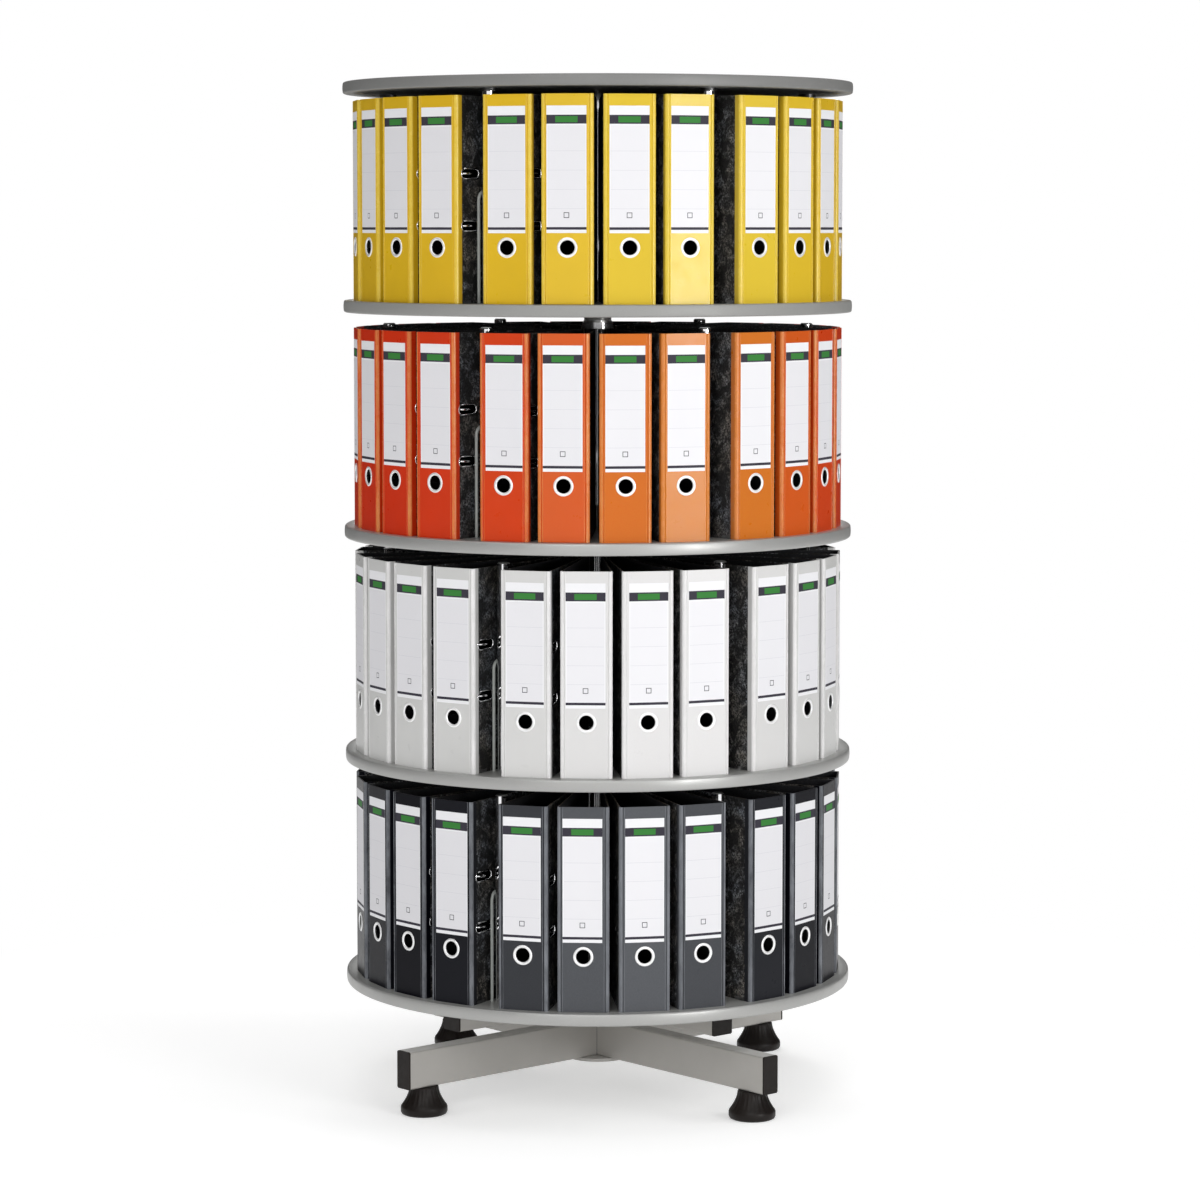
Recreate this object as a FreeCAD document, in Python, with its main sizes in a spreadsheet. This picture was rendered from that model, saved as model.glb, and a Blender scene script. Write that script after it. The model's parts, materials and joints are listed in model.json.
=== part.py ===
import FreeCAD, Part
import math
import os

import Sketcher
from FreeCAD import Placement, Rotation, Vector

# Rotary filing cabinet: four round shelves turn one by one on a fixed column, which stands
# on a cross foot with four levelling glides. Each shelf holds 24 lever arch binders in six
# groups of four, kept apart by a post and a wire divider. The top shelf's posts carry a cover.
# Frame: origin on the floor on the column's axis, +Z up, front towards -Y.

os.makedirs("parts", exist_ok=True)
doc = FreeCAD.newDocument("rotary_cabinet")
sheet = doc.addObject("Spreadsheet::Sheet", "Sizes")

TOP_TIER = 4
TIERS = range(1, TOP_TIER + 1)  # from the lowest shelf up
GROUPS = 6  # binder groups on a shelf, with a post and a divider between two groups
BINDERS_IN_GROUP = 4
PULLED_GROUP, PULLED_PLACE = 0, 1  # the binder that slides out
ARMS = 4  # of the cross foot and of the carrier under the lowest shelf
GRUB_SCREWS = 2  # in each stop collar
HUB_SCREWS = 6

# Millimetres and degrees.
DRIVING_SIZES = (
    # cross foot
    ("foot_height", 45),  # floor to the underside of the beams
    ("foot_inset", 39),  # beam's end to each foot's axis
    ("foot_rim_radius", 37),
    ("foot_rim_height", 18),
    ("foot_rim_edge", 4),
    ("foot_shoulder_radius", 28),
    ("foot_shoulder_height", 27),
    ("foot_neck_radius", 24),
    ("foot_neck_start", 35),
    ("stem_radius", 5),
    ("stem_embedded", 32),  # in the bell
    ("stem_length", 84),
    ("thread_bush_radius", 8),
    ("thread_bush_length", 30),
    ("beam_length", 810),
    ("beam_width", 30),
    ("beam_height", 60),
    ("beam_wall", 2),
    ("beam_corner", 3),
    ("cap_flange", 3),
    ("cap_insert", 20),
    ("base_turn", -48.5),
    # column and what holds it
    ("column_radius", 19),
    ("column_wall", 2),
    ("column_top_gap", 8),  # under the cover
    ("socket_plate_radius", 48),
    ("socket_plate_thickness", 6),
    ("socket_wall", 4),
    ("socket_height", 34),
    ("hub_plate_radius", 50),
    ("hub_plate_thickness", 5),
    ("bolt_radius", 6),
    ("bolt_head_radius", 11),
    ("bolt_head_height", 8),
    ("bolt_reach", 30),  # into the column plug
    ("column_plug_length", 40),
    # shelves
    ("first_shelf_top", 192),
    ("binder_headroom", 25),  # under the next shelf
    ("shelf_radius", 410),
    ("board_thickness", 19),
    ("cover_headroom", 12),  # over the top shelf's binders
    ("cover_thickness", 18),
    ("tier1_turn", 3.7),
    ("tier2_turn", 4.4),
    ("tier3_turn", -0.7),
    ("tier4_turn", 0.2),
    # hubs, bushes and stop collars
    ("running_clearance", 0.05),
    ("seat_gap", 0.3),
    ("bush_wall", 1.25),
    ("bush_length", 15),
    ("bush_lip", 1.5),
    ("hub_wall", 1.7),
    ("hub_drop", 14),  # below the board
    ("hub_rise", 30),  # above the board
    ("flange_radius", 75),
    ("flange_thickness", 4),
    ("thrust_washer", 2.7),
    ("thrust_washer_radius", 23),
    ("collar_radius", 25),
    ("collar_height", 10),
    ("grub_radius", 3),
    ("hub_screw_ring", 55),
    ("hub_screw_radius", 2.5),
    ("hub_screw_head", 5),
    ("hub_screw_head_height", 3),
    ("hub_screw_reach", 14),  # into the board
    # carrier cross under the lowest shelf
    ("carrier_reach", 302),
    ("carrier_width", 40),
    ("carrier_height", 50),
    ("carrier_turn", -53.4),  # from the shelf it is screwed to
    ("carrier_ring_radius", 32),
    ("carrier_ring_wall", 4),
    ("carrier_screw_radius", 3),
    ("carrier_screw_head", 6),
    ("carrier_screw_reach", 8),  # past the tube's wall
    ("carrier_screw_inner", 120),
    ("carrier_screw_inset", 42),  # arm's end to the outer screw
    # posts and wire dividers
    ("post_ring", 337),
    ("post_radius", 10),
    ("post_rise", 7),  # over the binders
    ("post_crown", 2),
    ("spigot_radius", 4),
    ("spigot_length", 11),
    ("rosette_radius", 13.5),
    ("rosette_height", 5),
    ("divider_outer", 345),
    ("divider_inner", 285),
    ("divider_height", 174),
    ("divider_bend", 14),
    ("divider_wire_radius", 2.5),
    ("divider_post_gap", 0.7),
    ("divider_root", 10),  # into the board
    # lever arch binders
    ("binder_ring", 392),  # column axis to the outside of the spine
    ("binder_height", 318),
    ("binder_depth", 285),
    ("binder_width", 80),
    ("binder_fore_edge", 24),
    ("binder_board", 2.4),
    ("binder_angle", 13.9),  # between neighbours in a group
    ("finger_hole_radius", 11.5),
    ("finger_hole_height", 86),
    ("arch_slot_start", 8),
    ("arch_slot_length", 46),
    ("arch_slot_radius", 7),
    ("arch_pitch", 80),
)


class Size:
    """A size: its number now, and the sheet expression that a property is bound to."""

    def __init__(self, number, text):
        self.number = number
        self.text = text

    def __add__(self, other):
        other = as_size(other)
        return Size(self.number + other.number, f"({self.text} + {other.text})")

    def __sub__(self, other):
        other = as_size(other)
        return Size(self.number - other.number, f"({self.text} - {other.text})")

    def __mul__(self, factor):
        return Size(self.number * factor, f"({self.text} * {factor})")

    def __truediv__(self, factor):
        return Size(self.number / factor, f"({self.text} / {factor})")

    def __neg__(self):
        return Size(-self.number, f"(0 - {self.text})")


def as_size(value):
    return value if isinstance(value, Size) else Size(value, str(value))


def write_sheet():
    """Puts the driving sizes in the sheet and returns them by name."""
    sizes = {}
    for row, (alias, number) in enumerate(DRIVING_SIZES, start=1):
        sheet.set(f"A{row}", alias)
        sheet.set(f"B{row}", str(number))
        sheet.setAlias(f"B{row}", alias)
        sizes[alias] = Size(number, f"Sizes.{alias}")
    doc.recompute()
    return sizes


S = write_sheet()
ZERO = Size(0, "0")

# Sizes that follow from the driving ones.
BEAM_TOP = S["foot_height"] + S["beam_height"]
FOOT_RING = S["beam_length"] / 2 - S["foot_inset"]
COLUMN_FOOT = BEAM_TOP + S["socket_plate_thickness"]
BUSH_BORE = S["column_radius"] + S["running_clearance"]
HUB_BORE = BUSH_BORE + S["bush_wall"]
HUB_RADIUS = HUB_BORE + S["hub_wall"]
TIER_STEP = S["binder_height"] + S["binder_headroom"] + S["board_thickness"]
COVER_CLEARANCE = S["binder_height"] + S["cover_headroom"]  # above the top shelf
BOARD_RADIUS = S["shelf_radius"] - S["board_thickness"] / 2
UNDERSIDE = -S["board_thickness"]  # from the shelf's top, as all places on a tier
HUB_FOOT = UNDERSIDE - S["hub_drop"]
WASHER_TOP = HUB_FOOT - S["seat_gap"]
COLLAR_TOP = WASHER_TOP - S["thrust_washer"]
COLLAR_FOOT = COLLAR_TOP - S["collar_height"]
COVER_FOOT = S["first_shelf_top"] + TIER_STEP * (TOP_TIER - 1) + COVER_CLEARANCE
COLUMN_TOP = COVER_FOOT - S["column_top_gap"]
DIVIDER_OFFSET = S["post_radius"] + S["divider_post_gap"] + S["divider_wire_radius"]
CARRIER_FOOT = UNDERSIDE - S["carrier_height"]
CARRIER_SCREW_RINGS = (S["carrier_screw_inner"], S["carrier_reach"] - S["carrier_screw_inset"])

parts = {}  # node name to the object that is exported


def keep(name, obj):
    """Names an object as a node of the cabinet."""
    obj.Label = name
    parts[name] = obj
    return obj


def bind(obj, **expressions):
    for prop, size in expressions.items():
        obj.setExpression(prop.replace("__", "."), as_size(size).text)
    return obj


def place(obj, z=ZERO, turn=ZERO, x=0.0, y=0.0):
    """Stands an object at a height, turned about the column's axis."""
    turned = Rotation(Vector(0, 0, 1), turn.number)
    at = turned.multVec(Vector(x, y, 0))
    obj.Placement = Placement(Vector(at.x, at.y, z.number), turned)
    if z.text != "0":
        bind(obj, Placement__Base__z=z)
    return obj


def tier_top(tier):
    return S["first_shelf_top"] + TIER_STEP * (tier - 1)


def place_on_tier(obj, tier, above=ZERO, turn=ZERO):
    return place(obj, tier_top(tier) + above, S[f"tier{tier}_turn"] + turn)


# ---------------------------------------------------------------- bodies and sketches


def new_body(name):
    return doc.addObject("PartDesign::Body", name + "_body")


def origin_feature(body, role):
    return next(item for item in body.Origin.OriginFeatures if item.Role == role)


def new_sketch(body, plane, height=None):
    """A sketch on one of the body's origin planes, or that far along the plane's normal."""
    sketch = body.newObject("Sketcher::SketchObject", body.Name + "_sketch")
    sketch.AttachmentSupport = [(origin_feature(body, plane), "")]
    sketch.MapMode = "FlatFace"
    if height is not None:
        sketch.AttachmentOffset = Placement(Vector(0, 0, height.number), Rotation())
        bind(sketch, AttachmentOffset__Base__z=height)
    return sketch


def constrain(sketch, size, kind, *where):
    """Adds a dimension and binds it to the sheet."""
    index = sketch.addConstraint(Sketcher.Constraint(kind, *where, size.number))
    name = f"size{index}"
    sketch.renameConstraint(index, name)
    sketch.setExpression(f"Constraints.{name}", size.text)


def fix_point(sketch, geometry, point, x, y):
    """Holds a point at x, y from the sketch's origin."""
    for size, kind, axis in ((x, "DistanceX", -2), (y, "DistanceY", -1)):
        if abs(size.number) < 1e-9:
            sketch.addConstraint(Sketcher.Constraint("PointOnObject", geometry, point, axis))
        else:
            constrain(sketch, size, kind, -1, 1, geometry, point)


def draw_loop(sketch, points):
    """A closed outline. A point with a third value starts a half round to the next point,
    bulging towards +x, whose centre is at that x."""
    points = [tuple(as_size(value) for value in point) for point in points]
    flat = [Vector(point[0].number, point[1].number, 0) for point in points]
    indices = []
    for i, point in enumerate(points):
        start, end = flat[i], flat[(i + 1) % len(flat)]
        if len(point) == 3:
            middle = Vector(point[2].number + abs(end.y - start.y) / 2, (start.y + end.y) / 2, 0)
            indices.append(sketch.addGeometry(Part.Arc(start, middle, end), False))
        else:
            indices.append(sketch.addGeometry(Part.LineSegment(start, end), False))
    for i, index in enumerate(indices):
        following = indices[(i + 1) % len(indices)]
        sketch.addConstraint(Sketcher.Constraint("Coincident", index, 2, following, 1))
    for index, point in zip(indices, points):
        fix_point(sketch, index, 1, point[0], point[1])
        if len(point) == 3:
            constrain(sketch, point[2], "DistanceX", -1, 1, index, 3)


def draw_circle(sketch, x, y, radius):
    x, y = as_size(x), as_size(y)
    centre = Vector(x.number, y.number, 0)
    circle = Part.Circle(centre, Vector(0, 0, 1), radius.number)
    index = sketch.addGeometry(circle, False)
    constrain(sketch, radius, "Radius", index)
    fix_point(sketch, index, 3, x, y)


def draw_arc(sketch, x, y, radius, first, last):
    circle = Part.Circle(Vector(x.number, y.number, 0), Vector(0, 0, 1), radius.number)
    return sketch.addGeometry(Part.ArcOfCircle(circle, math.radians(first), math.radians(last)), False)


def draw_line(sketch, start, end):
    start, end = (Vector(x.number, y.number, 0) for x, y in (start, end))
    return sketch.addGeometry(Part.LineSegment(start, end), False)


def join_tangent(sketch, chain):
    """Joins each piece's end to the next one's start, smoothly, all the way round."""
    for i, index in enumerate(chain):
        following = chain[(i + 1) % len(chain)]
        sketch.addConstraint(Sketcher.Constraint("Tangent", index, 2, following, 1))


def draw_slot(sketch, left, right, y, radius):
    """An oblong whose end arcs are centred at left and right."""
    lower = draw_line(sketch, (left, y - radius), (right, y - radius))
    end = draw_arc(sketch, right, y, radius, -90, 90)
    upper = draw_line(sketch, (right, y + radius), (left, y + radius))
    start = draw_arc(sketch, left, y, radius, 90, 270)
    join_tangent(sketch, (lower, end, upper, start))
    constrain(sketch, radius, "Radius", end)
    fix_point(sketch, start, 3, left, y)
    fix_point(sketch, end, 3, right, y)


def draw_rounded_rectangle(sketch, width, low, high, radius):
    """A rectangle centred on x = 0, from low to high in y, with round corners."""
    left, right = -width / 2 + radius, width / 2 - radius
    bottom, top = low + radius, high - radius
    chain = (
        draw_line(sketch, (left, low), (right, low)),
        draw_arc(sketch, right, bottom, radius, -90, 0),
        draw_line(sketch, (width / 2, bottom), (width / 2, top)),
        draw_arc(sketch, right, top, radius, 0, 90),
        draw_line(sketch, (right, high), (left, high)),
        draw_arc(sketch, left, top, radius, 90, 180),
        draw_line(sketch, (-width / 2, top), (-width / 2, bottom)),
        draw_arc(sketch, left, bottom, radius, 180, 270),
    )
    join_tangent(sketch, chain)
    for line, kind in zip(chain[0::2], ("Horizontal", "Vertical", "Horizontal", "Vertical")):
        sketch.addConstraint(Sketcher.Constraint(kind, line))
    for corner in chain[3::2]:
        sketch.addConstraint(Sketcher.Constraint("Equal", chain[1], corner))
    constrain(sketch, radius, "Radius", chain[1])
    fix_point(sketch, chain[3], 3, right, top)
    fix_point(sketch, chain[7], 3, left, bottom)


def add_feature(body, kind, sketch):
    feature = body.newObject(kind, body.Name + "_" + kind.split("::")[1].lower())
    feature.Profile = sketch
    return feature


def pad(body, sketch, length, reverse=False, symmetric=False):
    feature = add_feature(body, "PartDesign::Pad", sketch)
    feature.Reversed = reverse
    if symmetric:
        feature.SideType = "Symmetric"
    return bind(feature, Length=length)


def pocket(body, sketch, depth=None, along_normal=False):
    """Cuts a sketch into the body: through everything, or to a depth."""
    feature = add_feature(body, "PartDesign::Pocket", sketch)
    feature.Reversed = along_normal
    if depth is None:
        feature.Type = "ThroughAll"
        return feature
    return bind(feature, Length=depth)


def revolve(body, sketch):
    """Turns a sketch once round its own vertical axis."""
    feature = add_feature(body, "PartDesign::Revolution", sketch)
    feature.ReferenceAxis = (sketch, ["V_Axis"])
    feature.Angle = 360
    return feature


def ring_pattern(body, originals, count):
    """Repeats features round the body's Z axis."""
    pattern = body.newObject("PartDesign::PolarPattern", body.Name + "_ring")
    pattern.Originals = originals
    pattern.Axis = (origin_feature(body, "Z_Axis"), [""])
    pattern.Angle = 360
    pattern.Occurrences = count
    body.Tip = pattern
    return pattern


def stack_pattern(body, originals, count, step):
    """Repeats features up the body's Z axis."""
    pattern = body.newObject("PartDesign::LinearPattern", body.Name + "_stack")
    pattern.Originals = originals
    pattern.Direction = (origin_feature(body, "Z_Axis"), [""])
    pattern.Occurrences = count
    bind(pattern, Length=step * (count - 1))
    body.Tip = pattern
    return pattern


def profile_sketch(body, loops, out=None):
    """Outlines of a turned piece in radius and height, round an axis that stands out from
    the column's by the distance out."""
    sketch = new_sketch(body, "XZ_Plane")
    if out is not None:
        sketch.AttachmentOffset = Placement(Vector(out.number, 0, 0), Rotation())
        bind(sketch, AttachmentOffset__Base__x=out)
    for loop in loops:
        draw_loop(sketch, loop)
    return sketch


def turned_body(name, loops, out=None, count=1):
    """A turned piece, or a ring of equal ones."""
    body = new_body(name)
    turned = revolve(body, profile_sketch(body, loops, out))
    if count > 1:
        ring_pattern(body, [turned], count)
    return keep(name, body)


def rectangle_loop(x0, x1, y0, y1):
    return [(x0, y0), (x1, y0), (x1, y1), (x0, y1)]


def drill(body, plane_height, holes, depth=None, up=False, count=1):
    """Round holes (x, y, radius) along Z from a height, repeated round the axis."""
    sketch = new_sketch(body, "XY_Plane", plane_height)
    for x, y, radius in holes:
        draw_circle(sketch, x, y, radius)
    cut = pocket(body, sketch, depth, along_normal=up)
    if count > 1:
        ring_pattern(body, [cut], count)


# ---------------------------------------------------------------- cross foot


def tube_sketch(body, plane, width, height, low, wall, corner, start=None):
    """The section of a rectangular tube that stands from low to low + height."""
    sketch = new_sketch(body, plane, start)
    draw_rounded_rectangle(sketch, width, low, low + height, corner)
    inside = corner - wall
    draw_rounded_rectangle(sketch, width - wall * 2, low + wall, low + height - wall, inside)
    return sketch


def beam_section(body, plane, start=None):
    sizes = (S["beam_width"], S["beam_height"], S["foot_height"], S["beam_wall"], S["beam_corner"])
    return tube_sketch(body, plane, *sizes, start)


def make_beams():
    """One beam runs right through, and two half arms are welded to its sides."""
    long_beam = new_body("base_long_beam")
    pad(long_beam, beam_section(long_beam, "YZ_Plane"), S["beam_length"], symmetric=True)
    feet = [(ring, 0, S["thread_bush_radius"]) for ring in (FOOT_RING, -FOOT_RING)]
    drill(long_beam, S["foot_height"], feet, S["beam_wall"], up=True)
    drill(long_beam, S["foot_height"], [(0, 0, S["bolt_radius"])], up=True)
    place(keep("base_long_beam", long_beam), turn=S["base_turn"])

    arms = new_body("base_half_arms")
    section = beam_section(arms, "XZ_Plane", S["beam_width"] / 2)
    tube = pad(arms, section, S["beam_length"] / 2 - S["beam_width"] / 2)
    holes = new_sketch(arms, "XY_Plane", S["foot_height"])
    draw_circle(holes, 0, -FOOT_RING, S["thread_bush_radius"])
    hole = pocket(arms, holes, S["beam_wall"], along_normal=True)
    ring_pattern(arms, [tube, hole], 2)
    place(keep("base_half_arms", arms), turn=S["base_turn"])


def make_end_caps(name, count, reach, flange, insert, outer, inner, low):
    """Plastic plugs in tube ends: a flange as large as the tube, and a block inside it.
    outer and inner are (width, height, corner)."""
    body = new_body(name)
    width, height, corner = outer
    face = new_sketch(body, "YZ_Plane", reach)
    draw_rounded_rectangle(face, width, low, low + height, corner)
    plate = pad(body, face, flange)
    wall = (height - inner[1]) / 2
    stub = new_sketch(body, "YZ_Plane", reach)
    draw_rounded_rectangle(stub, inner[0], low + wall, low + height - wall, inner[2])
    block = pad(body, stub, insert, reverse=True)
    ring_pattern(body, [plate, block], count)
    return keep(name, body)


def make_beam_caps():
    wall = S["beam_wall"]
    outer = (S["beam_width"], S["beam_height"], S["beam_corner"])
    inner = (S["beam_width"] - wall * 2, S["beam_height"] - wall * 2, S["beam_corner"] - wall)
    reach = S["beam_length"] / 2
    sizes = (S["cap_flange"], S["cap_insert"], outer, inner, S["foot_height"])
    place(make_end_caps("beam_end_caps", ARMS, reach, *sizes), turn=S["base_turn"])


def make_foot_bushes():
    """Threaded bushes in the beams, one over each foot."""
    low, high = S["foot_height"], S["foot_height"] + S["thread_bush_length"]
    loop = rectangle_loop(S["stem_radius"] + S["running_clearance"], S["thread_bush_radius"], low, high)
    place(turned_body("foot_bushes", [loop], FOOT_RING, ARMS), turn=S["base_turn"])


def make_feet():
    """Bell glides on threaded stems."""
    bell = [
        (0, 0),
        (S["foot_rim_radius"] - S["foot_rim_edge"], 0),
        (S["foot_rim_radius"], S["foot_rim_edge"]),
        (S["foot_rim_radius"], S["foot_rim_height"]),
        (S["foot_shoulder_radius"], S["foot_shoulder_height"]),
        (S["foot_neck_radius"], S["foot_neck_start"]),
        (S["foot_neck_radius"], S["foot_height"] - S["seat_gap"]),
        (S["stem_radius"], S["foot_height"] - S["seat_gap"]),
        (S["stem_radius"], S["foot_height"] - S["stem_embedded"]),
        (0, S["foot_height"] - S["stem_embedded"]),
    ]
    ring = FOOT_RING.number
    corners = {
        "front_right": (ring, 0),
        "rear_right": (0, ring),
        "rear_left": (-ring, 0),
        "front_left": (0, -ring),
    }
    for corner, (x, y) in corners.items():
        place(turned_body("foot_bell_" + corner, [bell]), turn=S["base_turn"], x=x, y=y)
        stem = doc.addObject("Part::Cylinder", "foot_stem")
        bind(stem, Radius=S["stem_radius"], Height=S["stem_length"])
        keep("foot_stem_" + corner, stem)
        place(stem, S["foot_height"] - S["stem_embedded"], S["base_turn"], x, y)


# ---------------------------------------------------------------- column


def make_column_foot():
    """The round plates above and below the crossing, the bolt and the plug it is screwed into."""
    plate = [rectangle_loop(S["bolt_radius"], S["hub_plate_radius"], -S["hub_plate_thickness"], 0)]
    place(turned_body("base_hub_plate", plate), S["foot_height"])

    rim, outer = S["socket_plate_radius"], S["column_radius"] + S["socket_wall"]
    plate_top, top = S["socket_plate_thickness"], S["socket_plate_thickness"] + S["socket_height"]
    socket = [
        (S["bolt_radius"], 0),
        (rim, 0),
        (rim, plate_top),
        (outer, plate_top),
        (outer, top),
        (S["column_radius"], top),
        (S["column_radius"], plate_top),
        (S["bolt_radius"], plate_top),
    ]
    place(turned_body("column_socket", [socket]), BEAM_TOP)

    bore, reach = S["column_radius"] - S["column_wall"], S["bolt_reach"]
    plug = [
        (S["bolt_radius"], 0),
        (bore, 0),
        (bore, S["column_plug_length"]),
        (0, S["column_plug_length"]),
        (0, reach),
        (S["bolt_radius"], reach),
    ]
    place(turned_body("column_plug", [plug]), COLUMN_FOOT)

    shank = doc.addObject("Part::Cylinder", "bolt_shank")
    under_plate = S["foot_height"] - S["hub_plate_thickness"]
    bind(shank, Radius=S["bolt_radius"], Height=COLUMN_FOOT + reach - under_plate)
    head = doc.addObject("Part::Prism", "bolt_head")
    head.Polygon = 6
    bind(head, Circumradius=S["bolt_head_radius"], Height=S["bolt_head_height"])
    head.Placement = Placement(Vector(0, 0, -S["bolt_head_height"].number), Rotation())
    bind(head, Placement__Base__z=-S["bolt_head_height"])
    bolt = doc.addObject("Part::Fuse", "bolt")
    bolt.Base, bolt.Tool = shank, head
    place(keep("column_bolt", bolt), under_plate)


def make_column():
    bore = S["column_radius"] - S["column_wall"]
    loop = rectangle_loop(bore, S["column_radius"], 0, COLUMN_TOP - COLUMN_FOOT)
    place(turned_body("column_tube", [loop]), COLUMN_FOOT)


def make_stops():
    """On the column under each hub: a washer on a collar that two grub screws hold."""
    levels = len(TIERS)
    washers = new_body("thrust_washers")
    loop = rectangle_loop(S["column_radius"], S["thrust_washer_radius"], COLLAR_TOP, WASHER_TOP)
    stack_pattern(washers, [revolve(washers, profile_sketch(washers, [loop]))], levels, TIER_STEP)
    place(keep("thrust_washers", washers), S["first_shelf_top"])

    collars = new_body("stop_collars")
    loop = rectangle_loop(S["column_radius"], S["collar_radius"], COLLAR_FOOT, COLLAR_TOP)
    ring = revolve(collars, profile_sketch(collars, [loop]))
    middle = COLLAR_FOOT + S["collar_height"] / 2
    across = new_sketch(collars, "YZ_Plane")
    draw_circle(across, 0, middle, S["grub_radius"])
    bore = pocket(collars, across)
    bore.SideType = "Symmetric"
    stack_pattern(collars, [ring, bore], levels, TIER_STEP)
    place(keep("stop_collars", collars), S["first_shelf_top"])

    screws = new_body("collar_screws")
    flush = S["collar_radius"] - S["seat_gap"]
    face = new_sketch(screws, "YZ_Plane", S["column_radius"])
    draw_circle(face, 0, middle, S["grub_radius"])
    screw = pad(screws, face, flush - S["column_radius"])
    pair = ring_pattern(screws, [screw], GRUB_SCREWS)
    stack_all(screws, pair, levels)
    place(keep("collar_screws", screws), S["first_shelf_top"])


def stack_all(body, pattern, count):
    """Repeats a ring pattern up the column, as one more pattern of the same kind of step."""
    multi = body.newObject("PartDesign::MultiTransform", body.Name + "_levels")
    multi.Originals = pattern.Originals
    up = doc.addObject("PartDesign::LinearPattern", body.Name + "_up")
    up.Direction = (origin_feature(body, "Z_Axis"), [""])
    up.Occurrences = count
    bind(up, Length=TIER_STEP * (count - 1))
    multi.Transformations = [pattern, up]
    body.Tip = multi


# ---------------------------------------------------------------- shelves


def make_board(tier):
    """A round board with holes for the hub, posts, dividers and screws."""
    name = f"shelf_board_tier{tier}"
    body = new_body(name)
    sketch = new_sketch(body, "XY_Plane")
    draw_circle(sketch, 0, 0, BOARD_RADIUS)
    draw_circle(sketch, 0, 0, HUB_RADIUS)
    pad(body, sketch, S["board_thickness"], reverse=True)
    drill(body, ZERO, [(S["post_ring"], 0, S["spigot_radius"])], S["spigot_length"], count=GROUPS)
    rings, wire = (S["divider_outer"], S["divider_inner"]), S["divider_wire_radius"]
    legs = [(ring, -DIVIDER_OFFSET, wire) for ring in rings]
    drill(body, ZERO, legs, S["divider_root"], count=GROUPS)
    place_on_tier(body, tier)
    if tier == TIERS[0]:
        board = doc.addObject("Part::Cut", name)
        board.Base, board.Tool = body, make_carrier_screws()
        keep(name, board)
    else:
        screw = [(S["hub_screw_ring"], 0, S["hub_screw_radius"])]
        drill(body, UNDERSIDE, screw, S["hub_screw_reach"], up=True, count=HUB_SCREWS)
        keep(name, body)


def make_edge_band(tier):
    loop = [(BOARD_RADIUS, UNDERSIDE, BOARD_RADIUS), (BOARD_RADIUS, 0)]
    place_on_tier(turned_body(f"edge_band_tier{tier}", [loop]), tier)


def make_hub(tier):
    """The hub tube with its flange. On the lowest tier the flange closes a ring that carries
    the arms."""
    foot, top = HUB_FOOT + S["bush_lip"], S["hub_rise"]
    flange_foot = UNDERSIDE - S["flange_thickness"]
    if tier == TIERS[0]:
        ring, inside = S["carrier_ring_radius"], S["carrier_ring_radius"] - S["carrier_ring_wall"]
        rim = [(inside, flange_foot), (inside, CARRIER_FOOT), (ring, CARRIER_FOOT), (ring, UNDERSIDE)]
    else:
        rim = [(S["flange_radius"], flange_foot), (S["flange_radius"], UNDERSIDE)]
    outline = [(HUB_BORE, foot), (HUB_RADIUS, foot), (HUB_RADIUS, flange_foot), *rim]
    outline += [(HUB_RADIUS, UNDERSIDE), (HUB_RADIUS, top), (HUB_BORE, top)]
    name = f"hub_tier{tier}"
    body = new_body(name)
    revolve(body, profile_sketch(body, [outline]))
    if tier != TIERS[0]:
        screw = [(S["hub_screw_ring"], 0, S["hub_screw_radius"])]
        drill(body, flange_foot, screw, S["flange_thickness"], up=True, count=HUB_SCREWS)
    place_on_tier(keep(name, body), tier)


def make_bushes(tier):
    """Two flanged plastic bushes in the hub tube. The lower one runs on the washer."""
    foot, top, lip = HUB_FOOT, S["hub_rise"], S["bush_lip"]
    lower = [
        (BUSH_BORE, foot),
        (HUB_RADIUS, foot),
        (HUB_RADIUS, foot + lip),
        (HUB_BORE, foot + lip),
        (HUB_BORE, foot + S["bush_length"]),
        (BUSH_BORE, foot + S["bush_length"]),
    ]
    upper = [
        (BUSH_BORE, top + lip - S["bush_length"]),
        (HUB_BORE, top + lip - S["bush_length"]),
        (HUB_BORE, top),
        (HUB_RADIUS, top),
        (HUB_RADIUS, top + lip),
        (BUSH_BORE, top + lip),
    ]
    place_on_tier(turned_body(f"hub_bushes_tier{tier}", [lower, upper]), tier)


def make_hub_screws(tier):
    """Pan head screws up through the flange."""
    foot = UNDERSIDE - S["flange_thickness"]
    head, shank, low = S["hub_screw_head"], S["hub_screw_radius"], foot - S["hub_screw_head_height"]
    high = UNDERSIDE + S["hub_screw_reach"]
    outline = [(0, low), (head, low), (head, foot), (shank, foot), (shank, high), (0, high)]
    screws = turned_body(f"hub_screws_tier{tier}", [outline], S["hub_screw_ring"], HUB_SCREWS)
    place_on_tier(screws, tier)


# ---------------------------------------------------------------- carrier of the lowest shelf


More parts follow.
